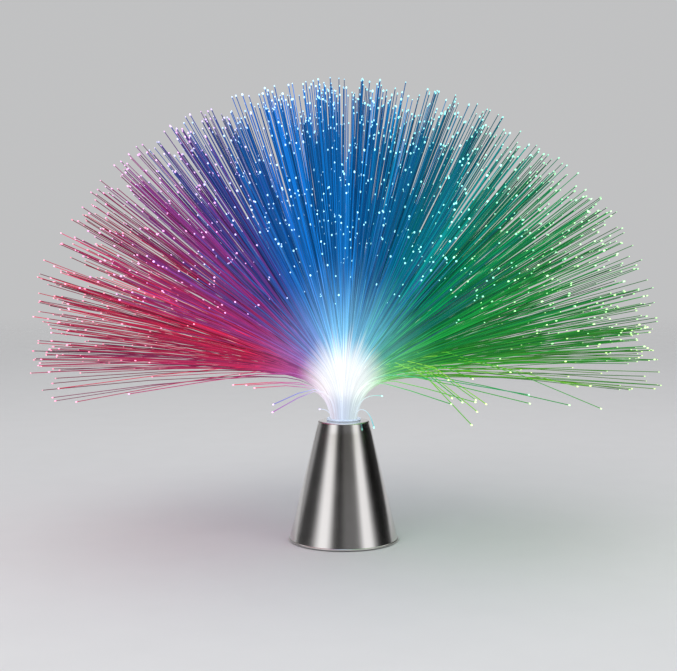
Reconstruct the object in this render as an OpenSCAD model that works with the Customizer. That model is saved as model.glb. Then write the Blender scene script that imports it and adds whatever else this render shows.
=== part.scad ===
// Battery fibre optic lamp. A spun steel cone closes over a moulded battery housing and a
// light tube. The tube carries a board with three lamps under the polished end of a potted
// bundle of plastic fibres, which leaves the collar on top and fans out into a wide spray.
//
// Origin: centre of the footprint, on the surface that the feet stand on.
// +Z points up, -Y points at the viewer and +X to the viewer's right.

/* [Cone] */
// Outer diameter of the cone at its bottom edge
cone_bottom_d = 82; // [80:1:110]
// Outer diameter of the cone at its top edge
cone_top_d = 38; // [34:1:50]
// Height of the cone, from the bottom of its bead to its top face
cone_h = 90; // [82:1:130]
// Sheet thickness of the cone
shell_t = 0.8; // [0.5:0.1:1.2]
// Radius of the bead rolled along the bottom edge
bead_r = 0.7; // [0.6:0.1:1.0]
// Height of the bead above the table
shell_lift = 0.6; // [0.3:0.1:1.0]

/* [Collar and ferrule] */
// Height of the collar's flange above the cone
collar_h = 2; // [1:0.5:4]
// Wall of the collar's tube
collar_t = 1.0; // [0.8:0.1:2]
// Width by which the collar's flange covers the cone's top face
collar_lap = 1.3; // [1:0.1:3]
// Depth to which the collar's tube reaches below the cone's top face
collar_depth = 10.6; // [6:0.2:16]
// Wall of the metal ferrule round the bundle
ferrule_t = 0.45; // [0.3:0.05:1]
// Depth of the ferrule's lower end below the cone's top face
ferrule_depth = 30.6; // [24:0.2:36]

/* [Fibres] */
// Diameter of the potted bundle
bundle_d = 19.6; // [18:0.2:24]
// Free length of the longest strands above the bundle
fibre_l = 252; // [180:1:300]
// Share of its length by which the shortest strand falls short
fibre_short = 0.05; // [0:0.01:0.1]
// Thickness of one strand
strand_d = 0.7; // [0.5:0.05:0.8]
// Pairs of strands, each pair lying half a turn apart
strand_pairs = 150; // [150:5:170]
// Lean from the vertical of the outermost strands at the sides
lean_side = 103; // [80:1:110]
// Lean from the vertical of the outermost strands at front and back
lean_front = 68; // [60:1:110]
// Lean of the outermost strands where they leave the bundle
lean_root = 14; // [0:1:20]
// Length over which the strands bend outwards
bend_l = 36; // [25:1:60]

/* [Light source] */
// Diameter of the board that carries the lamps
board_d = 30; // [28:0.5:34]
// Thickness of the board
board_t = 1.6; // [1:0.2:2]
// Distance between the lamps
led_pitch = 6; // [6:0.1:6.4]
// Diameter of a lamp's lens
led_d = 5; // [3:0.5:5]
// Height of a lamp above the board
led_h = 8.6; // [6:0.1:9]
// Free height between the board and the bundle
chamber_h = 10; // [9.5:0.5:14]
// Wall of the light tube
tube_t = 1.7; // [1.2:0.1:2.4]

/* [Battery bay] */
// Diameter of one cell
cell_d = 14.5; // [10.5:0.1:14.6]
// Length of one cell with its nub
cell_l = 50.5; // [44:0.5:50.5]
// Gap between neighbouring cells
cell_gap = 0.4; // [0.3:0.1:1]
// Compressed length of a contact spring
spring_l = 4.5; // [4:0.5:6]
// Thickness of the contact sheet
contact_t = 0.4; // [0.3:0.1:0.6]
// Wall of the battery housing
housing_t = 1.6; // [1.2:0.1:2]
// Height of the skirt that fills the cone's lower end
skirt_h = 12; // [8:0.5:16]

/* [Underside] */
// Height of the feet below the battery housing
foot_h = 1.2; // [1:0.1:2]
// Diameter of a foot
foot_d = 6.4; // [5:0.2:7]
// Thickness of the battery door
door_t = 2; // [1.6:0.1:2.4]
// Travel of the slide switch
switch_travel = 3; // [2:0.5:3]

/* [Hidden] */
$fn = 64;

// Clearances
slip = 0.1;       // between round pieces that slide into each other
seat = 0.05;      // between pieces that are pressed or glued together
door_gap = 0.3;   // round the door and over its tabs
cell_fit = 0.4;   // between a cell and its bay
eps = 0.01;       // overshoot of a cut

// Screws: radius and height of the head, radius of the shank
tube_screw = [2.4, 1.6, 1.25];
board_screw = [1.7, 1.2, 1];
switch_screw = [1.3, 0.9, 0.8];
cover_screw = [2.3, 1, 1.25];
screw_bite = 0.1;    // by which a hole is wider than the shank that it holds
screw_slack = 0.2;   // than the shank that passes through it
screw_swing = 0.35;  // than the door's screw, which swings out with the door
screw_end = 0.6;     // depth left in a hole beyond the screw's end
board_screw_in = 3.4;
switch_screw_in = 1.1;
cover_screw_l = 5;

// Cone
cone_taper = (cone_bottom_d - cone_top_d) / 2 / cone_h;
wall_slant = norm([1, cone_taper]);
top_z = shell_lift + cone_h;
bead_stand = 0.3;  // how far the bead stands proud of the cone
edge_r = 1.2;      // rounding of the cone's top edge
function cone_r(z) = cone_bottom_d / 2 - (z - shell_lift) * cone_taper;
function bore_r(z) = cone_r(z) - shell_t * wall_slant;

// Neck, from the bundle outwards
bundle_r = bundle_d / 2;
ferrule_r = bundle_r + seat + ferrule_t;
collar_bore_r = ferrule_r + slip;
collar_r = collar_bore_r + collar_t;
neck_hole_r = collar_r + slip;
collar_flange_r = neck_hole_r + collar_lap;
collar_top = top_z + collar_h;
socket_z = top_z - collar_depth;
ferrule_z = top_z - ferrule_depth;
bundle_sink = 0.5;  // depth of the potted face below the collar's rim
bundle_top = collar_top - bundle_sink;

// Light source
board_top = ferrule_z - chamber_h;
board_z = board_top - board_t;
board_r = board_d / 2;
tube_bore_r = board_r + 0.3;
tube_r = tube_bore_r + tube_t;
socket_r = collar_r + seat;
mast_r = socket_r + 1.5;
led_rim_w = 0.4;
chamber_r = led_pitch + led_d / 2 + led_rim_w + 0.5;
board_screw_y = board_r - 1.8;

// Battery housing
floor_z = foot_h;
floor_t = 3;
floor_top = floor_z + floor_t;
door_top = floor_z + door_t;
cell_r = cell_d / 2;
cell_pitch = cell_d + cell_gap;
cell_rest = 0.4;  // height of the door's ribs under the cells
cell_z = door_top + cell_rest + cell_r;
cell_body_l = cell_l - 1.5;
bay_r = cell_r + cell_fit;
bay_half_l = (cell_l + spring_l + 2 * contact_t) / 2;
housing_r = bay_r + housing_t;
housing_half_l = bay_half_l + housing_t;
roof_z = cell_z + housing_r;
corner_r = 4;
ledge_z = door_top + slip;

// Screw bosses between housing and light tube
tube_flange_t = 2.4;
boss_h = 5;
boss_r = 3.2;
boss_floor = 0.4;
tube_foot_z = roof_z + boss_h;
tube_screw_at = tube_r + 3.5;
tube_flange_r = tube_screw_at + 3.5;
tube_screw_turns = [90, 210, 330];

// Battery door
door_half_x = cell_pitch + housing_r + 0.6;
door_half_y = housing_half_l + 0.6;
door_screw_y = housing_half_l + 3.7;
tongue_r = 3.9;
hinge_y = -(door_half_y + door_gap / 2);
hinge_z = floor_z;
lip_t = 1.2;     // floor left under the door's tabs
tab_w = 7;
tab_t = 1;
tab_reach = 2.6;
tab_x = 14;
tab_swing_r = norm([tab_reach, lip_t + slip + tab_t]) + door_gap;
rib_places = [-16, 0, 16];
rib_t = 1.2;
grip = [14, 1, 0.4];

// Slide switch
switch_x = (door_half_x + door_gap + bore_r(floor_top) - slip - housing_t) / 2;
switch_plate = [4.4, 15.2, 0.4];
switch_can = [4.6, 8.8, 4];
switch_can_t = 0.4;
knob = [2.4, 3.6];
knob_stand = 0.6;  // by which the knob stands below the housing's floor
slider_block = [3.4, 4.6, 1.6];
knob_slot_y = (knob[1] + switch_travel) / 2 + 0.3;
finger_recess = [6, 9.8, 1.2];
switch_screw_y = 6;
pin = [0.5, 1.2, 3.4];
pin_pitch = 2.5;
pin_top = floor_top + switch_plate[2] + switch_can[2] + pin[2];

// Feet
foot_margin = 1.6;  // floor left outside a foot
foot_at = bore_r(floor_z) - slip - foot_margin - foot_d / 2;
foot_turns = [32, 148, 212, 328];
foot_sink = 0.8;

// Contacts
plate_w = cell_d - 5.5;
plate_h = cell_d - 3.5;
tab_up = 3.2;  // height of a solder tab above the roof
solder_tab_w = 3;
tab_play = [0.4, 0.1];  // width and thickness of its slot beyond its own
contact_y = bay_half_l - contact_t;
spring_wire = 0.7;
spring_turns = 3;
spring_base_r = plate_w / 2 - 0.3;
spring_r = [spring_base_r, spring_base_r * 4 / 7];  // at the contact plate and at the cell

// Wires
wire_d = 1.2;
solder_z = roof_z + 2.2;
notch_w = 7;
notch_top = tube_foot_z + 10;
notch_turn = -60;

// ---------------------------------------------------------------- helpers

// Points of an arc about centre c, from angle a to angle b, in n steps
function arc(c, r, a, b, n = 5) =
    [for (i = [0:n]) let (t = a + (b - a) * i / n) c + r * [cos(t), sin(t)]];

function unit(v) = v / norm(v);
function total(v, i = 0) = i == len(v) - 1 ? v[i] : v[i] + total(v, i + 1);

// Point at t on the smooth curve between p[i] and p[i + 1]
function spline_point(p, i, t) =
    let (a = p[max(i - 1, 0)], b = p[i], c = p[i + 1], d = p[min(i + 2, len(p) - 1)])
    b + t * (c - a) / 2
      + t * t * (2 * a - 5 * b + 4 * c - d) / 2
      + t * t * t * (3 * b - a - 3 * c + d) / 2;

// Smooth curve through the points p, with n steps between two of them
function spline(p, n) = concat(
    [for (i = [0:len(p) - 2], k = [0:n - 1]) spline_point(p, i, k / n)],
    [p[len(p) - 1]]
);

function headings(path) =
    let (last = len(path) - 1)
    [for (i = [0:last]) unit(path[min(i + 1, last)] - path[max(i - 1, 0)])];

// Side vectors along a path, carried from ring to ring without twist
function side_vectors(dirs, side, i = 0, done = []) =
    i == len(dirs) ? done :
    let (s = unit(side - (side * dirs[i]) * dirs[i]))
    side_vectors(dirs, s, i + 1, concat(done, [s]));

// Closed tube of diameter d along a path, its first ring turned towards side;
// start and finish, where they are given, are the directions that its end rings face
module tube(path, d, sides, side, start, finish) {
    along = headings(path);
    first = is_undef(start) ? along[0] : start;
    last = is_undef(finish) ? along[len(path) - 1] : finish;
    dirs = concat([first], [for (i = [1:1:len(path) - 2]) along[i]], [last]);
    rights = side_vectors(dirs, side);
    rings = len(path);
    points = [
        for (i = [0:rings - 1], k = [0:sides - 1])
            let (a = 360 * k / sides)
            path[i] + d / 2 * (cos(a) * rights[i] + sin(a) * cross(dirs[i], rights[i]))
    ];
    skin = [
        for (i = [0:rings - 2], k = [0:sides - 1])
            let (n = (k + 1) % sides, low = i * sides, high = low + sides)
            for (face = [[low + k, high + k, high + n], [low + k, high + n, low + n]]) face
    ];
    start_cap = [for (k = [1:sides - 2]) [0, k, k + 1]];
    end = (rings - 1) * sides;
    end_cap = [for (k = [1:sides - 2]) [end, end + k + 1, end + k]];
    polyhedron(points, concat(skin, start_cap, end_cap), convexity = 4);
}

// Upright block on z, centred on x and y
module block(size, at) {
    translate([at[0] - size[0] / 2, at[1] - size[1] / 2, at[2]]) cube(size);
}

module hole(r, z0, z1, at) {
    translate([at[0], at[1], z0]) cylinder(r = r, h = z1 - z0);
}

// Rectangle with round corners, given by its half sizes
module round_plate(half_x, half_y, r, h) {
    linear_extrude(h) {
        square([2 * half_x, 2 * (half_y - r)], center = true);
        square([2 * (half_x - r), 2 * half_y], center = true);
        for (x = [-1, 1], y = [-1, 1])
            translate([x * (half_x - r), y * (half_y - r)]) circle(r);
    }
}

// Pan head screw pointing down from its seat at z = 0, with a cross recess
module screw(size, shank_l) {
    head_r = size[0];
    head_h = size[1];
    shank_r = size[2];
    slot = [head_r * 1.1, head_r * 0.3, head_h * 0.5];
    difference() {
        rotate_extrude() polygon([
            [0, -shank_l], [shank_r * 0.5, -shank_l], [shank_r, -shank_l + shank_r * 0.6],
            [shank_r, 0], [head_r, 0], [head_r, head_h * 0.5], [head_r * 0.7, head_h], [0, head_h]
        ]);
        for (turn = [0, 90])
            rotate(turn) block([slot[0], slot[1], slot[2] + eps], [0, 0, head_h - slot[2]]);
    }
}

// ---------------------------------------------------------------- cone and neck

// Spun cone, closed on top by a flange with the neck hole
module cone_shell() {
    wall_z = shell_lift + bead_r / 2;
    edge_z = top_z - edge_r;
    inner_edge_z = top_z - shell_t;
    color("silver") rotate_extrude() {
        polygon(concat(
            [[bore_r(wall_z), wall_z], [cone_r(wall_z), wall_z]],
            arc([cone_r(edge_z) - edge_r, edge_z], edge_r, 0, 90),
            [[neck_hole_r, top_z], [neck_hole_r, inner_edge_z], [bore_r(inner_edge_z), inner_edge_z]]
        ));
        translate([cone_bottom_d / 2 + bead_stand - bead_r, shell_lift + bead_r]) circle(bead_r);
    }
}

// Clear collar: its flange lies on the cone, its tube drops into the light tube
module top_collar() {
    rim = 0.6;
    color([0.85, 0.88, 0.9, 0.6]) rotate_extrude() polygon(concat(
        [[collar_bore_r, socket_z], [collar_r, socket_z], [collar_r, top_z]],
        [[collar_flange_r, top_z]],
        arc([collar_flange_r - rim, collar_top - rim], rim, 0, 90),
        [[collar_bore_r + 2 * bundle_sink, collar_top], [collar_bore_r, collar_top - 2 * bundle_sink]]
    ));
}

// Metal sleeve that was crimped round the fibres before they were potted
module bundle_ferrule() {
    crimp_z = ferrule_z + (socket_z - ferrule_z) / 2;
    crimp = ferrule_t * 0.4;
    color("gainsboro") rotate_extrude() polygon([
        [ferrule_r - ferrule_t, ferrule_z], [ferrule_r, ferrule_z],
        [ferrule_r, crimp_z - 1.5], [ferrule_r - crimp, crimp_z - 0.7],
        [ferrule_r - crimp, crimp_z + 0.7], [ferrule_r, crimp_z + 1.5],
        [ferrule_r, bundle_top - bundle_sink],
        [ferrule_r - ferrule_t, bundle_top - bundle_sink]
    ]);
}

// ---------------------------------------------------------------- fibres

slice_gap = 0.06;                       // glue line between two slices of the bundle
slice_x = bundle_r / 3;                 // where the left and right slices begin
strand_edge = strand_d / 2 + slice_gap; // what a strand keeps from its slice's edge
golden_turn = 180 * (3 - sqrt(5));
droop = 0.07;                           // part of the lean that comes slowly, by weight

// Lean of the outermost strand in direction turn
function widest_lean(turn) = lean_side - (lean_side - lean_front) * pow(abs(sin(turn)), 1.5);

// Lean that a strand ends with: even cover of the dome for evenly spread roots
function end_lean(u, turn) = acos(1 - u * u * (1 - cos(widest_lean(turn))));

// Lean at distance s along a strand that is rooted at share u of the bundle's radius
function lean(s, u, turn) =
    let (bent = (1 - droop) * (1 - exp(-pow(s / bend_l, 2))) + droop * s / fibre_l)
    lean_root * u + (end_lean(u, turn) - lean_root * u) * bent;

// Outward and upward travel at distance s, summed over short steps
function travel(s, u, turn, steps = 24) =
    let (d = s / steps)
    total([for (i = [0.5:steps]) let (a = lean(i * d, u, turn)) d * [sin(a), 0, cos(a)]]);

// Root of a strand, moved off the edges between the slices
function root_x(x) =
    let (outer = bundle_r - strand_edge)
    abs(x) < slice_x
        ? x * (slice_x - strand_edge) / slice_x
        : sign(x) * (slice_x + strand_edge
            + (abs(x) - slice_x) * (outer - slice_x - strand_edge) / (outer - slice_x));

// Shares of its length at which a strand has its rings: more on the ones that bend more
function ring_shares(u) =
    u * u < 0.2 ? [0.16, 1] :
    u * u < 0.55 ? [0.1, 0.26, 1] :
    [0.07, 0.15, 0.3, 1];

// Rings of a strand, from its root on the potted face at z = 0
function strand_path(u, turn, length) =
    let (
        out = [cos(turn), sin(turn), 0],
        r = u * (bundle_r - strand_edge),
        root = [root_x(r * out[0]), r * out[1], 0]
    )
    concat(
        [root],
        [for (share = ring_shares(u)) let (t = travel(share * length, u, turn))
            root + t[0] * out + [0, 0, t[2]]]
    );

// Strand pairs on a sunflower spiral: [share of radius, direction, length]
strands = [
    for (i = [0:strand_pairs - 1], half = [0, 180])
        let (cut = i * 0.618 - floor(i * 0.618))
        [sqrt((i + 0.5) / strand_pairs), i * golden_turn / 2 + half, fibre_l * (1 - fibre_short * cut)]
];

function slice_of(strand) =
    let (x = strand[0] * (bundle_r - strand_edge) * cos(strand[1]))
    x < -slice_x ? -1 : x > slice_x ? 1 : 0;

// One upright slice of the potted bundle with the strands that are rooted in it;
// the zero sizes leave it as it is and weld it into one skin
module fibres(side) {
    low = side < 0 ? -bundle_r : side > 0 ? slice_x + slice_gap / 2 : -slice_x + slice_gap / 2;
    high = side < 0 ? -slice_x - slice_gap / 2 : side > 0 ? bundle_r : slice_x - slice_gap / 2;
    potted_l = bundle_top - ferrule_z;
    translate([0, 0, bundle_top]) resize([0, 0, 0]) union() {
        intersection() {
            mirror([0, 0, 1]) cylinder(r = bundle_r, h = potted_l);
            translate([low, -bundle_r, -potted_l - 1]) cube([high - low, bundle_d, potted_l + 2]);
        }
        for (strand = strands)
            if (slice_of(strand) == side)
                tube(
                    strand_path(strand[0], strand[1], strand[2]), strand_d, 3,
                    [-sin(strand[1]), cos(strand[1]), 0], [0, 0, 1]
                );
    }
}

module fibres_left() { color("crimson") fibres(-1); }
module fibres_centre() { color("dodgerblue") fibres(0); }
module fibres_right() { color("limegreen") fibres(1); }

// ---------------------------------------------------------------- light source

// White tube that carries the board, the ferrule and the collar, and holds up the cone's top
module light_tube() {
    shoulder_z = board_top + 2;
    mast_z = shoulder_z + tube_r - mast_r;
    color("whitesmoke") difference() {
        union() {
            rotate_extrude() polygon([
                [tube_bore_r, tube_foot_z], [tube_flange_r, tube_foot_z],
                [tube_flange_r, tube_foot_z + tube_flange_t], [tube_r, tube_foot_z + tube_flange_t],
                [tube_r, shoulder_z], [mast_r, mast_z], [mast_r, top_z - shell_t],
                [socket_r, top_z - shell_t], [socket_r, socket_z], [collar_bore_r, socket_z],
                [collar_bore_r, ferrule_z], [chamber_r, ferrule_z], [chamber_r, board_top],
                [tube_bore_r, board_top]
            ]);
            for (turn = tube_screw_turns)
                rotate(turn + 180) gusset();
        }
        for (turn = tube_screw_turns)
            rotate(turn) translate([tube_screw_at, 0, 0])
                hole(tube_screw[2] + screw_slack, tube_foot_z - 1, tube_foot_z + tube_flange_t + 1, [0, 0]);
        for (y = [-1, 1])
            hole(
                board_screw[2] + screw_bite, board_top - eps, board_top + board_screw_in + screw_end,
                [0, y * board_screw_y]
            );
        wire_notch();
    }
}

// Web that stiffens the light tube's foot
module gusset() {
    height = 9;
    web = 1.2;
    foot_top = tube_foot_z + tube_flange_t;
    translate([0, web / 2, 0]) rotate([90, 0, 0]) linear_extrude(web) polygon([
        [tube_r - 0.5, foot_top - 0.5], [tube_flange_r - 1, foot_top - 0.5],
        [tube_flange_r - 1, foot_top + 0.8], [tube_r + 0.5, foot_top + height],
        [tube_r - 0.5, foot_top + height]
    ]);
}

// Arched way for the wires through the light tube's wall
module wire_notch() {
    sill = tube_foot_z + tube_flange_t;
    crown = notch_top - notch_w / 2;
    rotate(notch_turn) translate([tube_bore_r - 3, 0, 0]) {
        translate([0, -notch_w / 2, sill]) cube([tube_t + 4, notch_w, crown - sill]);
        translate([0, 0, crown]) rotate([0, 90, 0]) cylinder(d = notch_w, h = tube_t + 4);
    }
}

led_leads = [-1.27, 1.27];
lead = 0.5;
lead_below = 1.4;  // length of a lead under the board
lead_hole_r = 0.45;
board_key = [2, 2];  // notch in the board's edge, inwards and along it
resistor = [1.3, 2.1, 0.55];
resistor_y = 6;
board_pads = [[5, -8.5], [1.5, -9.5]];  // supply and return, on the underside

module led_board() {
    color("seagreen") difference() {
        hole(board_r, board_z, board_top, [0, 0]);
        for (y = [-1, 1])
            hole(board_screw[2] + screw_slack, board_z - 1, board_top + 1, [0, y * board_screw_y]);
        for (x = [-led_pitch, 0, led_pitch], y = led_leads)
            hole(lead_hole_r, board_z - 1, board_top + 1, [x, y]);
        block([2 * board_key[0], board_key[1], board_t + 2], [board_r, 0, board_z - 1]);
    }
}

// One lamp: round lens with its rim, and two leads through the board
module led(place) {
    r = led_d / 2;
    translate([place * led_pitch, 0, board_top]) {
        rotate_extrude() polygon(concat(
            [[0, 0], [r + led_rim_w, 0], [r + led_rim_w, 1], [r, 1]],
            arc([0, led_h - r], r, 0, 90, 8)
        ));
        for (y = led_leads)
            block([lead, lead, board_t + lead_below + 0.3], [0, y, -board_t - lead_below]);
    }
}

module led_red() { color([0.9, 0.15, 0.2, 0.8]) led(-1); }
module led_blue() { color([0.2, 0.4, 0.95, 0.8]) led(0); }
module led_green() { color([0.2, 0.85, 0.3, 0.8]) led(1); }

// One chip resistor beside each lamp, under the board
module board_resistors() {
    color("dimgray") for (x = [-led_pitch, 0, led_pitch])
        block(resistor, [x, resistor_y, board_z - resistor[2]]);
}

module board_screws() {
    color("lightgray") for (y = [-1, 1])
        translate([0, y * board_screw_y, board_z]) rotate([180, 0, 0])
            screw(board_screw, board_t + board_screw_in);
}

module tube_screws() {
    color("lightgray") for (turn = tube_screw_turns)
        rotate(turn) translate([tube_screw_at, 0, tube_foot_z + tube_flange_t])
            screw(tube_screw, tube_flange_t + boss_h - boss_floor - screw_end);
}

// ---------------------------------------------------------------- battery housing

// Outline of the bay across the cells: arched over the outer ones, open below
module bay_section(r, base_z) {
    translate([-cell_pitch - r, base_z]) square([2 * (cell_pitch + r), cell_z - base_z]);
    translate([-cell_pitch, base_z]) square([2 * cell_pitch, cell_z + r - base_z]);
    for (x = [-1, 1])
        translate([x * cell_pitch, cell_z]) circle(r);
}

module bay_solid(r, half_l, base_z) {
    translate([0, half_l, 0]) rotate([90, 0, 0]) linear_extrude(2 * half_l) bay_section(r, base_z);
}

// Outline of the battery door, grown by gap
module door_outline(gap, z0, h) {
    translate([0, 0, z0]) {
        round_plate(door_half_x + gap, door_half_y + gap, corner_r + gap, h);
        translate([0, door_screw_y, 0]) cylinder(r = tongue_r + gap, h = h);
        translate([-tongue_r - gap, 0, 0]) cube([2 * (tongue_r + gap), door_screw_y, h]);
    }
}

// Disc with a tapered skirt that plugs the cone's lower end
module housing_floor() {
    rise = floor_z + skirt_h;
    color("dimgray") rotate_extrude() polygon([
        [0, floor_z], [bore_r(floor_z) - slip, floor_z], [bore_r(rise) - slip, rise],
        [bore_r(rise) - slip - housing_t, rise], [bore_r(floor_top) - slip - housing_t, floor_top],
        [0, floor_top]
    ]);
}

// Room for one of the door's tabs, above the lip that it hooks over
module tab_pocket(x) {
    width = tab_w + 2 * door_gap;
    difference() {
        translate([x - width / 2, hinge_y, hinge_z]) rotate([0, 90, 0])
            cylinder(r = tab_swing_r, h = width);
        translate([x - tab_w, hinge_y - 2 * tab_swing_r, hinge_z - tab_swing_r])
            cube([2 * tab_w, 2 * tab_swing_r, tab_swing_r + lip_t]);
    }
}

module battery_housing() {
    screw_hole_top = floor_z + cover_screw[1] + cover_screw_l + screw_end;
    color([0.12, 0.12, 0.13]) difference() {
        union() {
            housing_floor();
            intersection() {
                bay_solid(housing_r, housing_half_l, floor_z + 1);
                translate([0, 0, floor_z]) round_plate(
                    cell_pitch + housing_r, housing_half_l, corner_r, roof_z);
            }
            for (turn = tube_screw_turns)
                rotate(turn) hole(boss_r, cell_z + 5, tube_foot_z, [tube_screw_at, 0]);
            hole(boss_r, floor_z + 1, screw_hole_top + 0.8, [0, door_screw_y]);
        }
        bay_solid(bay_r, bay_half_l, floor_z - 1);
        door_outline(door_gap, floor_z - 1, door_t + slip + 1);
        for (x = [-1, 1])
            tab_pocket(x * tab_x);
        hole(cover_screw[2] + screw_swing, floor_z, screw_hole_top, [0, door_screw_y]);
        for (turn = tube_screw_turns)
            rotate(turn) translate([tube_screw_at, 0, 0])
                hole(tube_screw[2] + screw_bite, roof_z + boss_floor, tube_foot_z + 1, [0, 0]);
        for (side = [-1, 1])
            block([solder_tab_w + tab_play[0], contact_t + tab_play[1], roof_z], [
                side * cell_pitch, -side * (bay_half_l - (contact_t + tab_play[1]) / 2), cell_z]);
        for (turn = foot_turns)
            rotate(turn) hole(foot_d / 2 + slip, floor_z - 1, floor_z + foot_sink, [foot_at, 0]);
        block([finger_recess[0], finger_recess[1], finger_recess[2] + 1], [switch_x, 0, floor_z - 1]);
        block([knob[0] + 0.6, 2 * knob_slot_y, floor_t + 1], [switch_x, 0, floor_z]);
        for (y = [-1, 1])
            hole(
                switch_screw[2] + screw_bite, floor_top - switch_screw_in - screw_end, floor_top + 1,
                [switch_x, y * switch_screw_y]
            );
    }
}

// ---------------------------------------------------------------- cells and contacts

// One cell along Y; way is the side that its nub points to
module cell(place, way) {
    crimp = 0.6;
    nub_r = 2.75;
    translate([place * cell_pitch, way * contact_y, cell_z]) rotate([way * 90, 0, 0])
        rotate_extrude() polygon([
            [0, 0], [nub_r, 0], [nub_r, cell_l - cell_body_l], [cell_r - crimp, cell_l - cell_body_l],
            [cell_r, cell_l - cell_body_l + crimp], [cell_r, cell_l - crimp],
            [cell_r - crimp, cell_l], [0, cell_l]
        ]);
}

module cell_1() { color("goldenrod") cell(-1, 1); }
module cell_2() { color("goldenrod") cell(0, -1); }
module cell_3() { color("goldenrod") cell(1, 1); }

// Contact sheet against an end wall, from the cell at place a to the one at place b
module contact_sheet(a, b, way) {
    translate([0, way > 0 ? bay_half_l : -contact_y, 0]) rotate([90, 0, 0]) linear_extrude(contact_t)
        translate([a * cell_pitch - plate_w / 2, cell_z - plate_h / 2])
            square([(b - a) * cell_pitch + plate_w, plate_h]);
}

// Contact sheet with a tab for the wire, through the roof of the bay
module terminal(place, way) {
    contact_sheet(place, place, way);
    block([solder_tab_w, contact_t, roof_z + tab_up - cell_z], [
        place * cell_pitch, way * (bay_half_l - contact_t / 2), cell_z]);
}

module terminal_plus() { color("gold") terminal(-1, 1); }
module terminal_minus() { color("gold") terminal(1, -1); }
module link_front() { color("gold") contact_sheet(-1, 0, -1); }
module link_back() { color("gold") contact_sheet(0, 1, 1); }

// Conical spring along +Y from a contact sheet to a cell, with straight ends
spring_coil_l = spring_l - 2 * spring_wire;
spring_rings = 8;
function spring_radius(t) = spring_r[0] + (spring_r[1] - spring_r[0]) * t;
spring_path = concat(
    [[spring_r[0], 0.02, 0]],
    [for (i = [0:spring_turns * spring_rings])
        let (t = i / (spring_turns * spring_rings), a = 360 * spring_turns * t, r = spring_radius(t))
        [r * cos(a), spring_wire + spring_coil_l * t, r * sin(a)]],
    [[spring_r[1], spring_l - 0.02, 0]]
);

// Least gap between two turns of the spring, measured between its rings
spring_self_gap = min([
    for (i = [0:len(spring_path) - 1], k = [i + 4:1:len(spring_path) - 1])
        norm(spring_path[i] - spring_path[k])
]) - spring_wire;
echo(spring_self_gap = spring_self_gap);

module contact_spring(place, way) {
    color("lightgray") translate([place * cell_pitch, -way * contact_y, cell_z])
        rotate(way > 0 ? 0 : 180) tube(spring_path, spring_wire, 6, [1, 0, 0]);
}

module spring_1() { contact_spring(-1, 1); }
module spring_2() { contact_spring(0, -1); }
module spring_3() { contact_spring(1, 1); }

// ---------------------------------------------------------------- wires

wire_side = [0.3, 0.5, 0.8];
wire_turn = [cos(notch_turn), sin(notch_turn), 0];
wire_across = [-sin(notch_turn), cos(notch_turn), 0];
wire_hole_z = notch_top - 5;
past_boss_y = tube_screw_at + boss_r + 1.9;
function beside_tube(gap, turn) = (tube_r + gap) * [cos(turn), sin(turn), 0] + [0, 0, wire_hole_z];

// Positive tab, along the bay's roof and down to the switch
battery_wire_route = [
    [-cell_pitch, contact_y, solder_z], [-cell_pitch, contact_y - 1.4, solder_z],
    [-11, past_boss_y - 0.6, solder_z], [0, past_boss_y, solder_z],
    [12, past_boss_y - 0.4, solder_z - 0.2], [21, 21.5, roof_z],
    [28, 13, roof_z - 4.5], [switch_x, 4.5, pin_top + 2], [switch_x, pin_pitch, pin_top + 1],
    [switch_x, pin_pitch, pin_top]
];

// Switch, round the light tube's foot and up to the board
switched_wire_route = [
    [switch_x, 0, pin_top], [switch_x, 0, pin_top + 3], [30, -3, roof_z], [26.5, -9, tube_foot_z + 1],
    [21, -14, tube_foot_z + 6], beside_tube(4.6, -46),
    tube_r * wire_turn + 1.6 * wire_across + [0, 0, wire_hole_z],
    [6.2, -9.6, wire_hole_z + 3], [5, -8.5, wire_hole_z + 9], [5, -8.5, board_z - 3],
    [board_pads[0][0], board_pads[0][1], board_z]
];

// Negative tab, up and over the light tube's foot and up to the board
return_wire_route = [
    [cell_pitch, -contact_y, solder_z], [cell_pitch, -contact_y + 1.4, solder_z],
    [14.2, -25, tube_foot_z + 1], [12.5, -23.4, tube_foot_z + 4.5], beside_tube(4.4, -63),
    tube_r * wire_turn - 1.6 * wire_across + [0, 0, wire_hole_z],
    [2.6, -10.6, wire_hole_z + 3], [1.5, -9.5, wire_hole_z + 9], [1.5, -9.5, board_z - 3],
    [board_pads[1][0], board_pads[1][1], board_z]
];

// Wire along a route, its ends square to what they meet
module wire(route) {
    end = len(route) - 1;
    tube(
        spline(route, 3), wire_d, 8, wire_side,
        unit(route[1] - route[0]), unit(route[end] - route[end - 1])
    );
}

module wire_battery() { color("firebrick") wire(battery_wire_route); }
module wire_switched() { color("firebrick") wire(switched_wire_route); }
module wire_return() { color([0.1, 0.1, 0.1]) wire(return_wire_route); }

// ---------------------------------------------------------------- switch

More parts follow.
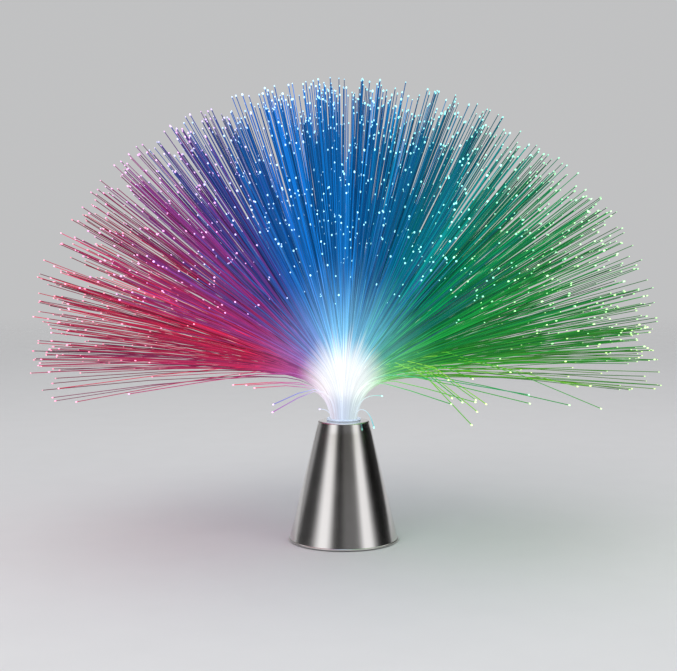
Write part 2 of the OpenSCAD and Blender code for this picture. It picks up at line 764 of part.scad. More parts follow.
// Sheet metal can on its mounting plate, with three solder pins
module switch_body() {
    plate_top = floor_top + switch_plate[2];
    can_top = plate_top + switch_can[2] - eps;
    inner = [switch_can[0] - 2 * switch_can_t, switch_can[1] - 2 * switch_can_t,
        switch_can[2] - switch_can_t];
    color("lightslategray") difference() {
        union() {
            block(switch_plate, [switch_x, 0, floor_top]);
            block(switch_can, [switch_x, 0, plate_top - eps]);
            for (y = [-1:1])
                block([pin[0], pin[1], pin_top - can_top + 0.2],
                    [switch_x, y * pin_pitch, can_top - 0.2]);
        }
        block([inner[0], inner[1], inner[2]], [switch_x, 0, plate_top - eps]);
        block([knob[0] + 0.6, 2 * knob_slot_y, switch_plate[2] + 2], [switch_x, 0, floor_top - 1]);
        for (y = [-1, 1])
            hole(switch_screw[2] + screw_slack, floor_top - 1, plate_top + 1,
                [switch_x, y * switch_screw_y]);
    }
}

// Knob in the underside's recess, with its neck and the block that keeps it in the can
module switch_slider() {
    rest_y = -switch_travel / 2;
    block_z = floor_top + switch_plate[2] + 0.2;
    knob_z = floor_z - knob_stand;
    color("black") difference() {
        union() {
            block([knob[0], knob[1], block_z - knob_z + eps], [switch_x, rest_y, knob_z]);
            block(slider_block, [switch_x, rest_y, block_z]);
        }
        for (y = [-1:1])
            block([knob[0] + 1, 0.4, 0.4 + eps], [switch_x, rest_y + y * 1.1, knob_z - eps]);
    }
}

module switch_screws() {
    color("lightgray") for (y = [-1, 1])
        translate([switch_x, y * switch_screw_y, floor_top + switch_plate[2]])
            screw(switch_screw, switch_plate[2] + switch_screw_in);
}

// ---------------------------------------------------------------- underside

// One tab of the door, seen along X: it hooks over the lip of the housing's floor
module door_tab(x) {
    low = floor_z + lip_t + slip;
    high = low + tab_t;
    translate([x - tab_w / 2, hinge_y, 0]) rotate([90, 0, 90]) linear_extrude(tab_w) polygon([
        [1.6, low], [-tab_reach, low], [-tab_reach, high - 0.4], [-tab_reach + 0.4, high],
        [0.4, high], [1.2, door_top - 0.1], [1.6, door_top - 0.1]
    ]);
}

// Rib across the door with a cradle for each cell
module door_rib(y) {
    height = cell_rest + 1.6;
    translate([0, y + rib_t / 2, 0]) rotate([90, 0, 0]) linear_extrude(rib_t) difference() {
        translate([-cell_pitch - 5, door_top - 0.2]) square([2 * (cell_pitch + 5), height + 0.2]);
        for (place = [-1:1])
            translate([place * cell_pitch, cell_z]) circle(cell_r + seat);
    }
}

module battery_door() {
    color([0.16, 0.16, 0.17]) difference() {
        union() {
            door_outline(0, floor_z, door_t);
            for (x = [-1, 1])
                door_tab(x * tab_x);
            for (y = rib_places)
                door_rib(y);
        }
        hole(cover_screw[2] + screw_bite, floor_z - 1, door_top + 1, [0, door_screw_y]);
        hole(cover_screw[0] + screw_slack, floor_z - 1, floor_z + cover_screw[1], [0, door_screw_y]);
        for (i = [0:4])
            block([grip[0], grip[1], grip[2] + eps],
                [0, housing_half_l - 3 - 2 * grip[1] * i, floor_z - eps]);
    }
}

// Captive screw of the door, its head flush in the counterbore
module door_screw() {
    color("lightgray") translate([0, door_screw_y, floor_z + cover_screw[1]]) rotate([180, 0, 0])
        screw(cover_screw, cover_screw_l);
}

// Four equal pads glued into the floor's pockets
module rubber_feet() {
    color([0.1, 0.1, 0.1]) for (turn = foot_turns)
        rotate(turn) translate([foot_at, 0, 0]) rotate_extrude() polygon([
            [0, 0], [foot_d / 2 - 0.4, 0], [foot_d / 2, 0.4],
            [foot_d / 2, floor_z + foot_sink], [0, floor_z + foot_sink]
        ]);
}

// ---------------------------------------------------------------- assembly

cone_shell();
top_collar();
bundle_ferrule();
fibres_left();
fibres_centre();
fibres_right();
light_tube();
led_board();
led_red();
led_blue();
led_green();
board_resistors();
board_screws();
tube_screws();
battery_housing();
cell_1();
cell_2();
cell_3();
terminal_plus();
terminal_minus();
link_front();
link_back();
spring_1();
spring_2();
spring_3();
wire_battery();
wire_switched();
wire_return();
switch_body();
switch_slider();
switch_screws();
battery_door();
door_screw();
rubber_feet();
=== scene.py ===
"""Looks of a battery fibre optic lamp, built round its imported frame.

Everything is in metres in the frame's own axes: the camera looks along +Y, +X is its right and
+Z is up. Each sub-assembly is a class that builds and dresses its own pieces.
"""

import logging
import math
from dataclasses import dataclass, field
from enum import Enum
from typing import Any, Optional, Sequence, Union

import bpy
import numpy as np
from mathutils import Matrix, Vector


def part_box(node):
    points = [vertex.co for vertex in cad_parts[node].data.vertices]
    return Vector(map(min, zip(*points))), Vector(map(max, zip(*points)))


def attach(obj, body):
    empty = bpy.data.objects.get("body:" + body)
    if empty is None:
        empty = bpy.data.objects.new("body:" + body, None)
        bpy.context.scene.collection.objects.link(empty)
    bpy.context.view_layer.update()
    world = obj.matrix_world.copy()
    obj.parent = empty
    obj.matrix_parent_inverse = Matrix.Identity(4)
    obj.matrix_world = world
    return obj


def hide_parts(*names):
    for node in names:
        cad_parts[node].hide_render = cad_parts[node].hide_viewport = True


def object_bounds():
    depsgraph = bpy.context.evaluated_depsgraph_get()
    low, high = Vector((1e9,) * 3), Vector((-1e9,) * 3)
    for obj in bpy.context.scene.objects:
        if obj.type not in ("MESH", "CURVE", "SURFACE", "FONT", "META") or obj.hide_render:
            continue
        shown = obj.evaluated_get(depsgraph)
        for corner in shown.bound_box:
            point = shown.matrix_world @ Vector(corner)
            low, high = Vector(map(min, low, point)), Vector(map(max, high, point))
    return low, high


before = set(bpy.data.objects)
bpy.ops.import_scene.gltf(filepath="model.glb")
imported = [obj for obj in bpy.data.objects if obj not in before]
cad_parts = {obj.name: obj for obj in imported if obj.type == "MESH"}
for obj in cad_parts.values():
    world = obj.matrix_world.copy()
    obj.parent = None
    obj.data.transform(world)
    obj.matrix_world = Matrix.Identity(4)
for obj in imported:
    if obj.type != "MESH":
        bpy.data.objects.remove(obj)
CAD_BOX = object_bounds()

LOG = logging.getLogger("lamp")
MM = 0.001
BAKE_MAP = "OFBake"
MERGE = 0.001 * MM  # points nearer than this become one
TURNED_EDGE = math.radians(28)  # sharper edges stay hard on turned and cut pieces
SWEPT_EDGE = math.radians(40)  # and on swept tubes
GOLDEN_TURN = math.pi * (3 - math.sqrt(5))
FIBRE_SIDES = 4
TUBE_RESOLUTION = 3
POTTED_SINK = 0.5 * MM  # the potted face lies this far below the collar's top

Colour = tuple[float, float, float]
Point = tuple[float, float, float]
Pair = tuple[float, float]
Outline = list[Pair]
Stops = tuple[tuple[float, Colour], ...]
Operand = Union["Value", float]


class Body(Enum):
    """The bodies of the frame that pieces ride on."""

    BASE = "base"
    DOOR = "door"
    SLIDER = "slider"


class Side(Enum):
    """The three slices of the fibre bundle, by where they lie along X."""

    LEFT = -1
    CENTRE = 0
    RIGHT = 1


FIBRE_SLOTS = {Side.LEFT: "fibre_red", Side.CENTRE: "fibre_blue", Side.RIGHT: "fibre_green"}


# ------------------------------------------------------------------ shader maths


class Value:
    """A number in a shader. Python's operators on it add Math nodes."""

    def __init__(self, recipe: "Graph", socket: bpy.types.NodeSocket) -> None:
        """Wraps a socket of the graph's node tree."""
        self.recipe = recipe
        self.socket = socket

    def math(self, operation: str, *others: Operand, swap: bool = False) -> "Value":
        """Adds one Math node.

        Args:
            operation: Name of the node's operation.
            others: The operands that follow this value.
            swap: Whether the operands are taken in reverse.

        Returns:
            The node's result.
        """
        operands = [self, *others]
        if swap:
            operands.reverse()
        node = self.recipe.node("ShaderNodeMath", {"operation": operation}, dict(enumerate(operands)))
        return Value(self.recipe, node.outputs[0])

    def __add__(self, other: Operand) -> "Value":
        """This value plus the other."""
        return self.math("ADD", other)

    def __sub__(self, other: Operand) -> "Value":
        """This value less the other."""
        return self.math("SUBTRACT", other)

    def __rsub__(self, other: float) -> "Value":
        """The other less this value."""
        return self.math("SUBTRACT", other, swap=True)

    def __mul__(self, other: Operand) -> "Value":
        """This value times the other."""
        return self.math("MULTIPLY", other)

    def __truediv__(self, other: Operand) -> "Value":
        """This value divided by the other."""
        return self.math("DIVIDE", other)

    def __rtruediv__(self, other: float) -> "Value":
        """The other divided by this value."""
        return self.math("DIVIDE", other, swap=True)

    def __pow__(self, other: Operand) -> "Value":
        """This value to the power of the other."""
        return self.math("POWER", other)

    def __neg__(self) -> "Value":
        """This value with its sign turned."""
        return self.math("MULTIPLY", -1.0)

    __radd__ = __add__
    __rmul__ = __mul__

    def above(self, limit: float) -> "Value":
        """1 where this value is above the limit, else 0."""
        return self.math("GREATER_THAN", limit)

    def between(self, low: float, high: float) -> "Value":
        """Rises smoothly from 0 at low to 1 at high."""
        node = self.recipe.node(
            "ShaderNodeMapRange",
            {"interpolation_type": "SMOOTHSTEP"},
            {"Value": self, "From Min": low, "From Max": high},
        )
        return Value(self.recipe, node.outputs[0])


Feed = Union[Value, bpy.types.NodeSocket, float, Sequence[float]]


class Graph:
    """A node tree, and the one way that nodes are added to it."""

    def __init__(self, tree: bpy.types.NodeTree) -> None:
        """Takes a node tree and empties it."""
        self.tree = tree
        self.tree.nodes.clear()

    def node(
        self,
        kind: str,
        settings: Optional[dict[str, Any]] = None,
        inputs: Optional[dict[Union[str, int], Feed]] = None,
    ) -> bpy.types.Node:
        """Adds a node.

        Args:
            kind: The node's type.
            settings: Its properties, set first. "stops" are a ramp's (place, colour) pairs.
            inputs: Values or links, by the name or number of the socket.

        Returns:
            The new node.
        """
        node = self.tree.nodes.new(kind)
        for name, value in (settings or {}).items():
            if name == "stops":
                self.set_stops(node.color_ramp, value)
            else:
                setattr(node, name, value)
        for key, value in (inputs or {}).items():
            self.feed(node.inputs[key], value)
        return node

    @staticmethod
    def set_stops(ramp: bpy.types.ColorRamp, stops: Sequence[tuple[float, Colour]]) -> None:
        """Gives a colour ramp its stops.

        Args:
            ramp: The ramp, fresh from its node.
            stops: Place from 0 to 1 and colour of each stop, in order.
        """
        while len(ramp.elements) < len(stops):
            ramp.elements.new(1.0)
        for element, (place, colour) in zip(ramp.elements, stops):
            element.position = place
            element.color = (*colour, 1.0)

    def feed(self, socket: bpy.types.NodeSocket, value: Feed) -> None:
        """Links a value to a socket, or sets the socket to it.

        Args:
            socket: The socket to feed.
            value: A link's source, a number, a vector or a colour of three or four numbers.
        """
        if isinstance(value, Value):
            self.tree.links.new(value.socket, socket)
        elif isinstance(value, bpy.types.NodeSocket):
            self.tree.links.new(value, socket)
        elif isinstance(value, (int, float)):
            socket.default_value = value
        else:
            missing = len(socket.default_value) - len(value)
            socket.default_value = (*value, *([1.0] * missing))

    def output_of(self, kind: str, socket: Union[str, int]) -> Value:
        """One output of a new node that takes no settings or inputs."""
        return Value(self, self.node(kind).outputs[socket])


class Recipe(Graph):
    """One material's nodes: a Principled shader and what feeds it."""

    def __init__(self, name: str) -> None:
        """Starts a material with a Principled shader at its output."""
        self.material = bpy.data.materials.new(name)
        self.material.use_nodes = True
        super().__init__(self.material.node_tree)
        self.shader = self.node("ShaderNodeBsdfPrincipled")
        self.output = self.node("ShaderNodeOutputMaterial", {}, {"Surface": self.shader.outputs[0]})

    def set(self, **inputs: Feed) -> None:
        """Feeds the shader's sockets; an underscore in a name stands for a space."""
        for name, value in inputs.items():
            self.feed(self.shader.inputs[name.replace("_", " ")], value)

    def place(self) -> bpy.types.NodeSocket:
        """The point's place in the frame."""
        return self.node("ShaderNodeTexCoord").outputs["Object"]

    def axes(self) -> tuple[Value, Value, Value]:
        """The point's place in the frame, as three values."""
        node = self.node("ShaderNodeSeparateXYZ", {}, {0: self.place()})
        return tuple(Value(self, socket) for socket in node.outputs)

    def vector(self, x: Feed, y: Feed, z: Feed) -> bpy.types.NodeSocket:
        """A vector from three values."""
        return self.node("ShaderNodeCombineXYZ", {}, {0: x, 1: y, 2: z}).outputs[0]

    def attribute(self, name: str) -> Value:
        """A number that the piece's mesh carries."""
        return Value(self, self.node("ShaderNodeAttribute", {"attribute_name": name}).outputs["Fac"])

    def noise(
        self, grain: float, detail: float = 2.0, place: Optional[bpy.types.NodeSocket] = None
    ) -> Value:
        """Cloudy noise from about 0 to 1.

        Args:
            grain: Size of its features in metres.
            detail: Octaves of finer noise.
            place: Where it is read, if not at the point's place in the frame.

        Returns:
            The noise.
        """
        node = self.node(
            "ShaderNodeTexNoise",
            {"noise_dimensions": "3D"},
            {"Vector": place or self.place(), "Scale": 1.0 / grain, "Detail": detail},
        )
        return Value(self, node.outputs[0])

    def cells(self, grain: float) -> Value:
        """Distance to the nearest of many scattered points, grain metres apart."""
        node = self.node("ShaderNodeTexVoronoi", {}, {"Vector": self.place(), "Scale": 1.0 / grain})
        return Value(self, node.outputs["Distance"])

    def ramp(self, value: Value, stops: Sequence[tuple[float, Colour]]) -> bpy.types.NodeSocket:
        """The colour that a ramp gives a value."""
        return self.node("ShaderNodeValToRGB", {"stops": stops}, {0: value}).outputs[0]

    def grey_ramp(self, value: Value, stops: Sequence[Pair]) -> bpy.types.NodeSocket:
        """The grey that a ramp gives a value, from the place and brightness of each stop."""
        return self.ramp(value, [(place, (level,) * 3) for place, level in stops])

    def mix(self, share: Feed, first: Feed, second: Feed, blend: str = "MIX") -> bpy.types.NodeSocket:
        """A mix of two colours.

        Args:
            share: Share of the second colour.
            first: The first colour.
            second: The second colour.
            blend: How the second goes over the first.

        Returns:
            The mixed colour.
        """
        node = self.node(
            "ShaderNodeMix",
            {"data_type": "RGBA", "blend_type": blend, "clamp_factor": True},
            {0: share, 6: first, 7: second},
        )
        return node.outputs[2]

    def scaled(self, colour: Feed, factor: Feed) -> bpy.types.NodeSocket:
        """A colour times a number."""
        node = self.node("ShaderNodeVectorMath", {"operation": "SCALE"}, {0: colour, "Scale": factor})
        return node.outputs[0]

    def bump(self, height: Value, depth: float) -> bpy.types.NodeSocket:
        """A normal that shows a height pattern, whose height of 1 is depth metres."""
        inputs = {"Height": height, "Distance": depth, "Strength": 1.0}
        return self.node("ShaderNodeBump", {}, inputs).outputs[0]

    def glow(self, colour: Feed, strength: float) -> None:
        """Makes the surface shine, without sampling it as a lamp."""
        self.set(Emission_Color=colour, Emission_Strength=strength)
        self.material.cycles.emission_sampling = "NONE"


# ------------------------------------------------------------------ finishes


def tint(red: int, green: int, blue: int) -> Colour:
    """A colour given as it shows on a screen, from 0 to 255, as the shaders count it."""
    return tuple(
        c / 12.92 if c <= 0.04045 else ((c + 0.055) / 1.055) ** 2.4
        for c in (red / 255, green / 255, blue / 255)
    )


def tints(*rows: tuple[float, int, int, int]) -> Stops:
    """The stops of a ramp, from the place of each and its tint."""
    return tuple((place, tint(*colour)) for place, *colour in rows)


MADE: dict[str, bpy.types.Material] = {}


@dataclass(frozen=True)
class Finish:
    """A surface finish. Its material is made once, when a piece first asks for it."""

    name: str
    colour: Colour
    roughness: float = 0.5

    def material(self) -> bpy.types.Material:
        """The finish as a material."""
        if self.name not in MADE:
            recipe = Recipe(f"finish_{self.name}")
            recipe.set(Base_Color=self.colour, Roughness=self.roughness)
            self.detail(recipe)
            MADE[self.name] = recipe.material
        return MADE[self.name]

    def detail(self, recipe: Recipe) -> None:
        """Adds what makes this finish more than one colour."""

    def uneven(self, recipe: Recipe, grain: float, spread: float) -> bpy.types.NodeSocket:
        """The finish's colour, a little lighter and darker in patches.

        Args:
            recipe: The material that is being made.
            grain: Size of the patches in metres.
            spread: How far the colour strays, as a share of it.

        Returns:
            The uneven colour.
        """
        return recipe.scaled(self.colour, 1.0 + (recipe.noise(grain, 3.0) - 0.5) * (2.0 * spread))

    def rough(self, pattern: Value, spread: float) -> Value:
        """The finish's roughness, which a pattern around 0.5 raises and lowers."""
        return self.roughness + (pattern - 0.5) * spread


@dataclass(frozen=True)
class Moulding(Finish):
    """Moulded plastic or rubber with a fine grain from its mould."""

    grain: float = 0.25 * MM
    depth: float = 0.012 * MM
    coat: float = 0.0
    patch: float = 14 * MM
    rubbed: float = 9 * MM

    def detail(self, recipe: Recipe) -> None:
        """Grain, flow marks and rubbed patches."""
        pits = recipe.noise(self.grain) + recipe.cells(self.grain * 1.7) * 0.4
        recipe.set(
            Base_Color=self.uneven(recipe, self.patch, 0.08),
            Roughness=self.rough(recipe.noise(self.rubbed, 4.0), 0.18),
            Normal=recipe.bump(pits, self.depth),
            Coat_Weight=self.coat,
        )


@dataclass(frozen=True)
class SpunMetal(Finish):
    """Bright sheet metal with the turning marks of the spinning lathe."""

    pitch: float = 0.16 * MM
    depth: float = 0.0012 * MM
    anisotropy: float = 0.35
    band: float = 3.2 * MM
    haze: float = 11 * MM
    speck_gap: float = 2.6 * MM
    speck_edge: Pair = (0.02, 0.09)

    def detail(self, recipe: Recipe) -> None:
        """Turning rings, polishing haze and a few specks."""
        x, y, z = recipe.axes()
        section = recipe.vector((x * x + y * y) ** 0.5, 0.0, z)
        rings = recipe.noise(self.pitch, 3.0, section)
        bands = recipe.noise(self.band, 2.0, section)
        haze = recipe.noise(self.haze, 4.0)
        specks = 1.0 - recipe.cells(self.speck_gap).between(*self.speck_edge)
        recipe.set(
            Base_Color=recipe.scaled(self.colour, 0.96 + haze * 0.08 - specks * 0.05),
            Metallic=1.0,
            Anisotropic=self.anisotropy,
            Roughness=self.rough(rings, 0.06) + (haze - 0.5) * 0.08 + (bands - 0.5) * 0.03,
            Normal=recipe.bump(rings + bands * 0.6, self.depth),
        )


@dataclass(frozen=True)
class Plated(Finish):
    """Plated or tinned metal, a little cloudy."""

    grain: float = 0.5 * MM
    second: Colour = (0.75, 0.70, 0.60)
    cloud: float = 2.5 * MM
    depth: float = 0.004 * MM

    def detail(self, recipe: Recipe) -> None:
        """Clouds in the plating and fine drawing marks."""
        clouds = recipe.noise(self.cloud, 4.0)
        recipe.set(
            Base_Color=recipe.mix(clouds.between(0.35, 0.75) * 0.5, self.colour, self.second),
            Metallic=1.0,
            Roughness=self.rough(clouds, 0.2),
            Normal=recipe.bump(recipe.noise(self.grain, 3.0), self.depth),
        )


@dataclass(frozen=True)
class ClearPlastic(Finish):
    """Clear acrylic, with faint flow marks. Its rim has a painted glow, standing in for light that it
    carries from the bundle.
    """

    index: float = 1.49
    rim_z: float = field(default_factory=lambda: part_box("cone_shell")[1].z)
    # The painted glow on the rim: its height above the rim's top, and its colour
    painted_glow_h: float = 2 * MM
    painted_rim_glow: Colour = tint(150, 164, 182)
    wave: float = 2.2 * MM
    depth: float = 0.02 * MM

    def detail(self, recipe: Recipe) -> None:
        """Faint waves, handling haze and the painted glow on the rim."""
        waves = recipe.noise(self.wave)
        _, _, z = recipe.axes()
        # Painted glow: emission in a band at the rim's top, standing in for light carried from the bundle
        lit = z.between(self.rim_z, self.rim_z + self.painted_glow_h) * (0.6 + waves * 0.8)
        recipe.set(
            Base_Color=self.uneven(recipe, 4 * MM, 0.03),
            Roughness=self.rough(waves, 0.06),
            IOR=self.index,
            Transmission_Weight=0.85,
            Emission_Color=recipe.scaled(self.painted_rim_glow, lit),
            Emission_Strength=1.0,
            Normal=recipe.bump(waves, self.depth),
        )


@dataclass(frozen=True)
class LitFibre(Finish):
    """Plastic fibre that carries coloured light and shines at its cut tip.

    The mesh carries station, from -1 at the left of the bundle to 1 at the right, along, the
    distance from the potted face as a share of the longest fibre, shade, the fibre's own
    brightness, and tip, which is 1 on the cut end. Light leaks where the fibres bend, so the bend
    has a white core in a pale halo.
    """

    strength: float = 2.2
    unlit: float = 0.2
    # Light of each part of a fibre: what every fibre has, and what goes with its own shade
    halo_light: Pair = (0.45, 0.55)
    core_light: Pair = (0.8, 0.2)
    tip_light: Pair = (0.45, 0.55)
    # Share of the halo's own colour in it, of the foot's light at the root, and of the hue in that
    halo_share: float = 0.8
    foot_share: float = 0.9
    foot_tint: float = 0.05
    foot_reach: Pair = (0.03, 0.11)
    # Brightness outside the glow, by the place along the fibre
    fade: tuple[Pair, ...] = ((0.0, 1.0), (0.35, 1.0), (0.6, 0.86), (0.9, 0.78), (1.0, 0.9))
    # The glow's height, the squeeze of its outline, and where its core and its halo fade
    glow_z: float = field(default_factory=lambda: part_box("top_collar")[1].z + 35 * MM)
    glow_depth: float = 0.12
    glow_tall: float = 0.84
    glow_narrow: float = 1.06
    core_reach: Pair = (13 * MM, 39 * MM)
    halo_reach: Pair = (18 * MM, 82 * MM)
    hues: Stops = tints(
        (0.00, 128, 40, 84), (0.06, 158, 38, 80), (0.12, 190, 30, 66), (0.16, 166, 40, 88),
        (0.20, 146, 46, 112), (0.24, 128, 56, 142), (0.28, 66, 68, 152), (0.32, 34, 84, 166),
        (0.37, 14, 98, 180), (0.44, 8, 104, 180), (0.50, 8, 97, 168), (0.57, 8, 107, 174),
        (0.63, 6, 116, 158), (0.69, 6, 114, 130), (0.73, 4, 130, 116), (0.78, 4, 136, 84),
        (0.84, 14, 126, 56), (0.89, 30, 134, 50), (0.95, 58, 142, 44), (1.00, 112, 172, 44),
    )
    halos: Stops = tints(
        (0.00, 150, 84, 160), (0.18, 148, 110, 186), (0.30, 140, 160, 226), (0.44, 146, 214, 250),
        (0.58, 140, 222, 246), (0.70, 116, 212, 206), (0.82, 104, 200, 150), (1.00, 140, 208, 110),
    )
    tips: Stops = tints(
        (0.00, 255, 150, 184), (0.14, 255, 150, 176), (0.26, 232, 176, 255), (0.36, 176, 214, 255),
        (0.50, 158, 230, 255), (0.66, 150, 250, 242), (0.80, 160, 255, 176), (1.00, 214, 255, 150),
    )
    core: Colour = tint(250, 253, 255)
    foot: Colour = tint(214, 222, 236)

    def from_glow(self, recipe: Recipe) -> Value:
        """Distance from the glow's centre, in a space that is squeezed to the glow's outline."""
        x, y, z = recipe.axes()
        rise = (z - self.glow_z) * self.glow_tall
        across = x * self.glow_narrow
        return (across * across + y * y * self.glow_depth + rise * rise) ** 0.5

    def detail(self, recipe: Recipe) -> None:
        """Colour by station, a white core where the fibres bend, and bright tips."""
        distance = self.from_glow(recipe)
        station = recipe.attribute("station") * 0.5 + 0.5
        along = recipe.attribute("along")
        shade = recipe.attribute("shade")
        halo_light, core_light, tip_light = (
            plain + shade * gain for plain, gain in (self.halo_light, self.core_light, self.tip_light)
        )
        hue = recipe.ramp(station, self.hues)
        fade = recipe.grey_ramp(along, self.fade)
        lit = recipe.scaled(recipe.mix(1.0, hue, fade, "MULTIPLY"), shade)
        halo = recipe.mix(self.halo_share, hue, recipe.ramp(station, self.halos))
        glow = recipe.mix(1.0 - distance.between(*self.halo_reach), lit, recipe.scaled(halo, halo_light))
        core = recipe.scaled(self.core, core_light)
        glow = recipe.mix(1.0 - distance.between(*self.core_reach), glow, core)
        foot = recipe.scaled(recipe.mix(self.foot_tint, self.foot, hue), core_light)
        glow = recipe.mix((1.0 - along.between(*self.foot_reach)) * self.foot_share, glow, foot)
        glow = recipe.scaled(glow, 1 / self.strength)
        tip = recipe.scaled(recipe.ramp(station, self.tips), tip_light)
        recipe.set(
            Base_Color=recipe.scaled(hue, self.unlit),
            Roughness=self.rough(recipe.noise(6 * MM), 0.1),
            Specular_IOR_Level=0.25,
        )
        recipe.glow(recipe.mix(recipe.attribute("tip"), glow, tip), self.strength)


@dataclass(frozen=True)
class LampLens(Finish):
    """Clear tinted epoxy over a lit chip."""

    strength: float = 2.0
    dome: float = 0.35
    board_z: float = field(default_factory=lambda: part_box("led_board")[1].z)
    lens_h: float = field(default_factory=lambda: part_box("led_blue")[1].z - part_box("led_board")[1].z)

    def detail(self, recipe: Recipe) -> None:
        """Brightest at the chip, darker up in the dome."""
        _, _, z = recipe.axes()
        height = (z - self.board_z) / self.lens_h
        light = self.dome + (1.0 - height.between(0.0, 0.9)) * (1.0 - self.dome)
        recipe.set(
            Base_Color=self.uneven(recipe, 1.5 * MM, 0.1),
            Normal=recipe.bump(recipe.noise(0.6 * MM), 0.004 * MM),
        )
        recipe.glow(recipe.scaled(self.colour, light), self.strength)


@dataclass(frozen=True)
class CircuitBoard(Finish):
    """Solder mask over copper tracks."""

    track: Colour = tint(24, 112, 62)
    track_gap: float = 2.4 * MM
    track_edge: Pair = (0.28, 0.34)
    track_h: float = 0.03 * MM

    def detail(self, recipe: Recipe) -> None:
        """Copper that shows through the mask, and the mask's orange peel."""
        clear = recipe.cells(self.track_gap).between(*self.track_edge)
        recipe.set(
            Base_Color=recipe.mix(clear, self.track, self.uneven(recipe, 5 * MM, 0.12)),
            Roughness=self.rough(recipe.noise(1.2 * MM), 0.1),
            Normal=recipe.bump(1.0 - clear, self.track_h),
        )


@dataclass(frozen=True)
class CellSleeve(Finish):
    """Plain shrink sleeve on a steel can, with a coloured band at the nub's end."""

    nub: int = 1
    band: Colour = tint(20, 92, 62)
    steel: Colour = tint(196, 194, 188)
    # Along half the cell's length, towards its nub
    band_reach: Pair = (0.55, 0.82)
    sleeve_reach: Pair = (-0.985, 0.925)
    wrinkle: float = 1.4 * MM
    depth: float = 0.02 * MM

    def detail(self, recipe: Recipe) -> None:
        """Sleeve, band, bare steel ends and the sleeve's shrink wrinkles."""
        low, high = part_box("cell_1")
        half = (high.y - low.y) / 2
        centre = self.nub * (low.y + high.y) / 2
        _, y, _ = recipe.axes()
        towards = (y - centre) * float(self.nub) / half
        band_from, band_to = (towards.above(end) for end in self.band_reach)
        sleeve_from, sleeve_to = (towards.above(end) for end in self.sleeve_reach)
        bare = sleeve_to + (1.0 - sleeve_from)
        sleeve = recipe.mix(band_from * (1.0 - band_to), self.uneven(recipe, 8 * MM, 0.08), self.band)
        recipe.set(
            Base_Color=recipe.mix(bare, sleeve, self.steel),
            Metallic=0.35 + bare * 0.65,
            Roughness=self.rough(recipe.noise(3 * MM), 0.12),
            Normal=recipe.bump(recipe.noise(self.wrinkle, 3.0), self.depth),
        )


STEEL = SpunMetal("spun_steel", tint(222, 219, 216), 0.15)
ALUMINIUM = SpunMetal("crimped_aluminium", tint(214, 214, 216), 0.3, pitch=0.3 * MM)
ACRYLIC = ClearPlastic("clear_collar", (0.95, 0.97, 1.0), 0.12)
POTTING = Moulding("polished_potting", tint(188, 204, 216), 0.12, grain=0.45 * MM, depth=0.004 * MM)
FIBRE = LitFibre("lit_fibre", (0.5, 0.6, 0.8), 0.32)
WHITE_PLASTIC = Moulding("white_moulding", tint(236, 236, 232), 0.42, depth=0.006 * MM)
BLACK_PLASTIC = Moulding("black_moulding", tint(38, 38, 40), 0.5, coat=0.05)
KNOB_PLASTIC = Moulding("knob_moulding", tint(20, 20, 22), 0.32, depth=0.004 * MM)
RUBBER = Moulding("foot_rubber", tint(30, 30, 31), 0.82, grain=0.4 * MM, depth=0.02 * MM)
RED_SLEEVE = Moulding("wire_red", tint(176, 24, 26), 0.38, grain=0.8 * MM, depth=0.005 * MM)
BLACK_SLEEVE = Moulding("wire_black", tint(22, 22, 24), 0.38, grain=0.8 * MM, depth=0.005 * MM)
ZINC = Plated("zinc_plate", tint(206, 208, 212), 0.3, second=tint(190, 196, 178))
NICKEL = Plated("nickel_plate", tint(208, 204, 192), 0.22)
SPRING_STEEL = Plated("spring_wire", tint(204, 202, 196), 0.26)
TINNED = Plated("tinned_sheet", tint(186, 190, 194), 0.34)
CHIP = Moulding("chip_ceramic", tint(44, 44, 48), 0.45)
BOARD = CircuitBoard("board_green", tint(10, 74, 40), 0.3)
LENSES = {
    "led_red": LampLens("lens_red", tint(250, 40, 50), 0.12),
    "led_blue": LampLens("lens_blue", tint(50, 90, 255), 0.12),
    "led_green": LampLens("lens_green", tint(40, 235, 80), 0.12),
}
CELLS = {
    1: CellSleeve("cell_sleeve", tint(206, 170, 84), 0.3),
    -1: CellSleeve("cell_sleeve_turned", tint(206, 170, 84), 0.3, nub=-1),
}


# ------------------------------------------------------------------ modelling


def arc(centre: Pair, radius: float, start: float, end: float, steps: int) -> Outline:
    """Points of an arc.

    Args:
        centre: Its centre, as radius and height.
        radius: Its radius.
        start: Angle of its first point in degrees.
        end: Angle of its last point in degrees.
        steps: Steps between them.

    Returns:
        The points.
    """
    angles = [math.radians(start + (end - start) * i / steps) for i in range(steps + 1)]
    return [(centre[0] + radius * math.cos(a), centre[1] + radius * math.sin(a)) for a in angles]


def deselect() -> None:
    """Leaves nothing selected."""
    bpy.ops.object.select_all(action="DESELECT")


def fresh(name: str) -> bpy.types.Object:
    """Names the object that an operator has just made, and its data."""
    piece = bpy.context.object
    piece.name = name
    piece.data.name = name
    return piece


def linked(name: str, data: bpy.types.ID) -> bpy.types.Object:
    """A new object of the scene, from its data."""
    piece = bpy.data.objects.new(name, data)
    bpy.context.scene.collection.objects.link(piece)
    return piece


def weld(edge: float) -> None:
    """Makes the active piece one clean skin: merged points, faces outwards, smooth shading.

    Args:
        edge: Angle in radians from which its edges stay hard.
    """
    bpy.ops.object.mode_set(mode="EDIT")
    bpy.ops.mesh.select_all(action="SELECT")
    bpy.ops.mesh.remove_doubles(threshold=MERGE)
    bpy.ops.mesh.normals_make_consistent(inside=False)
    bpy.ops.object.mode_set(mode="OBJECT")
    bpy.ops.object.shade_smooth_by_angle(angle=edge)


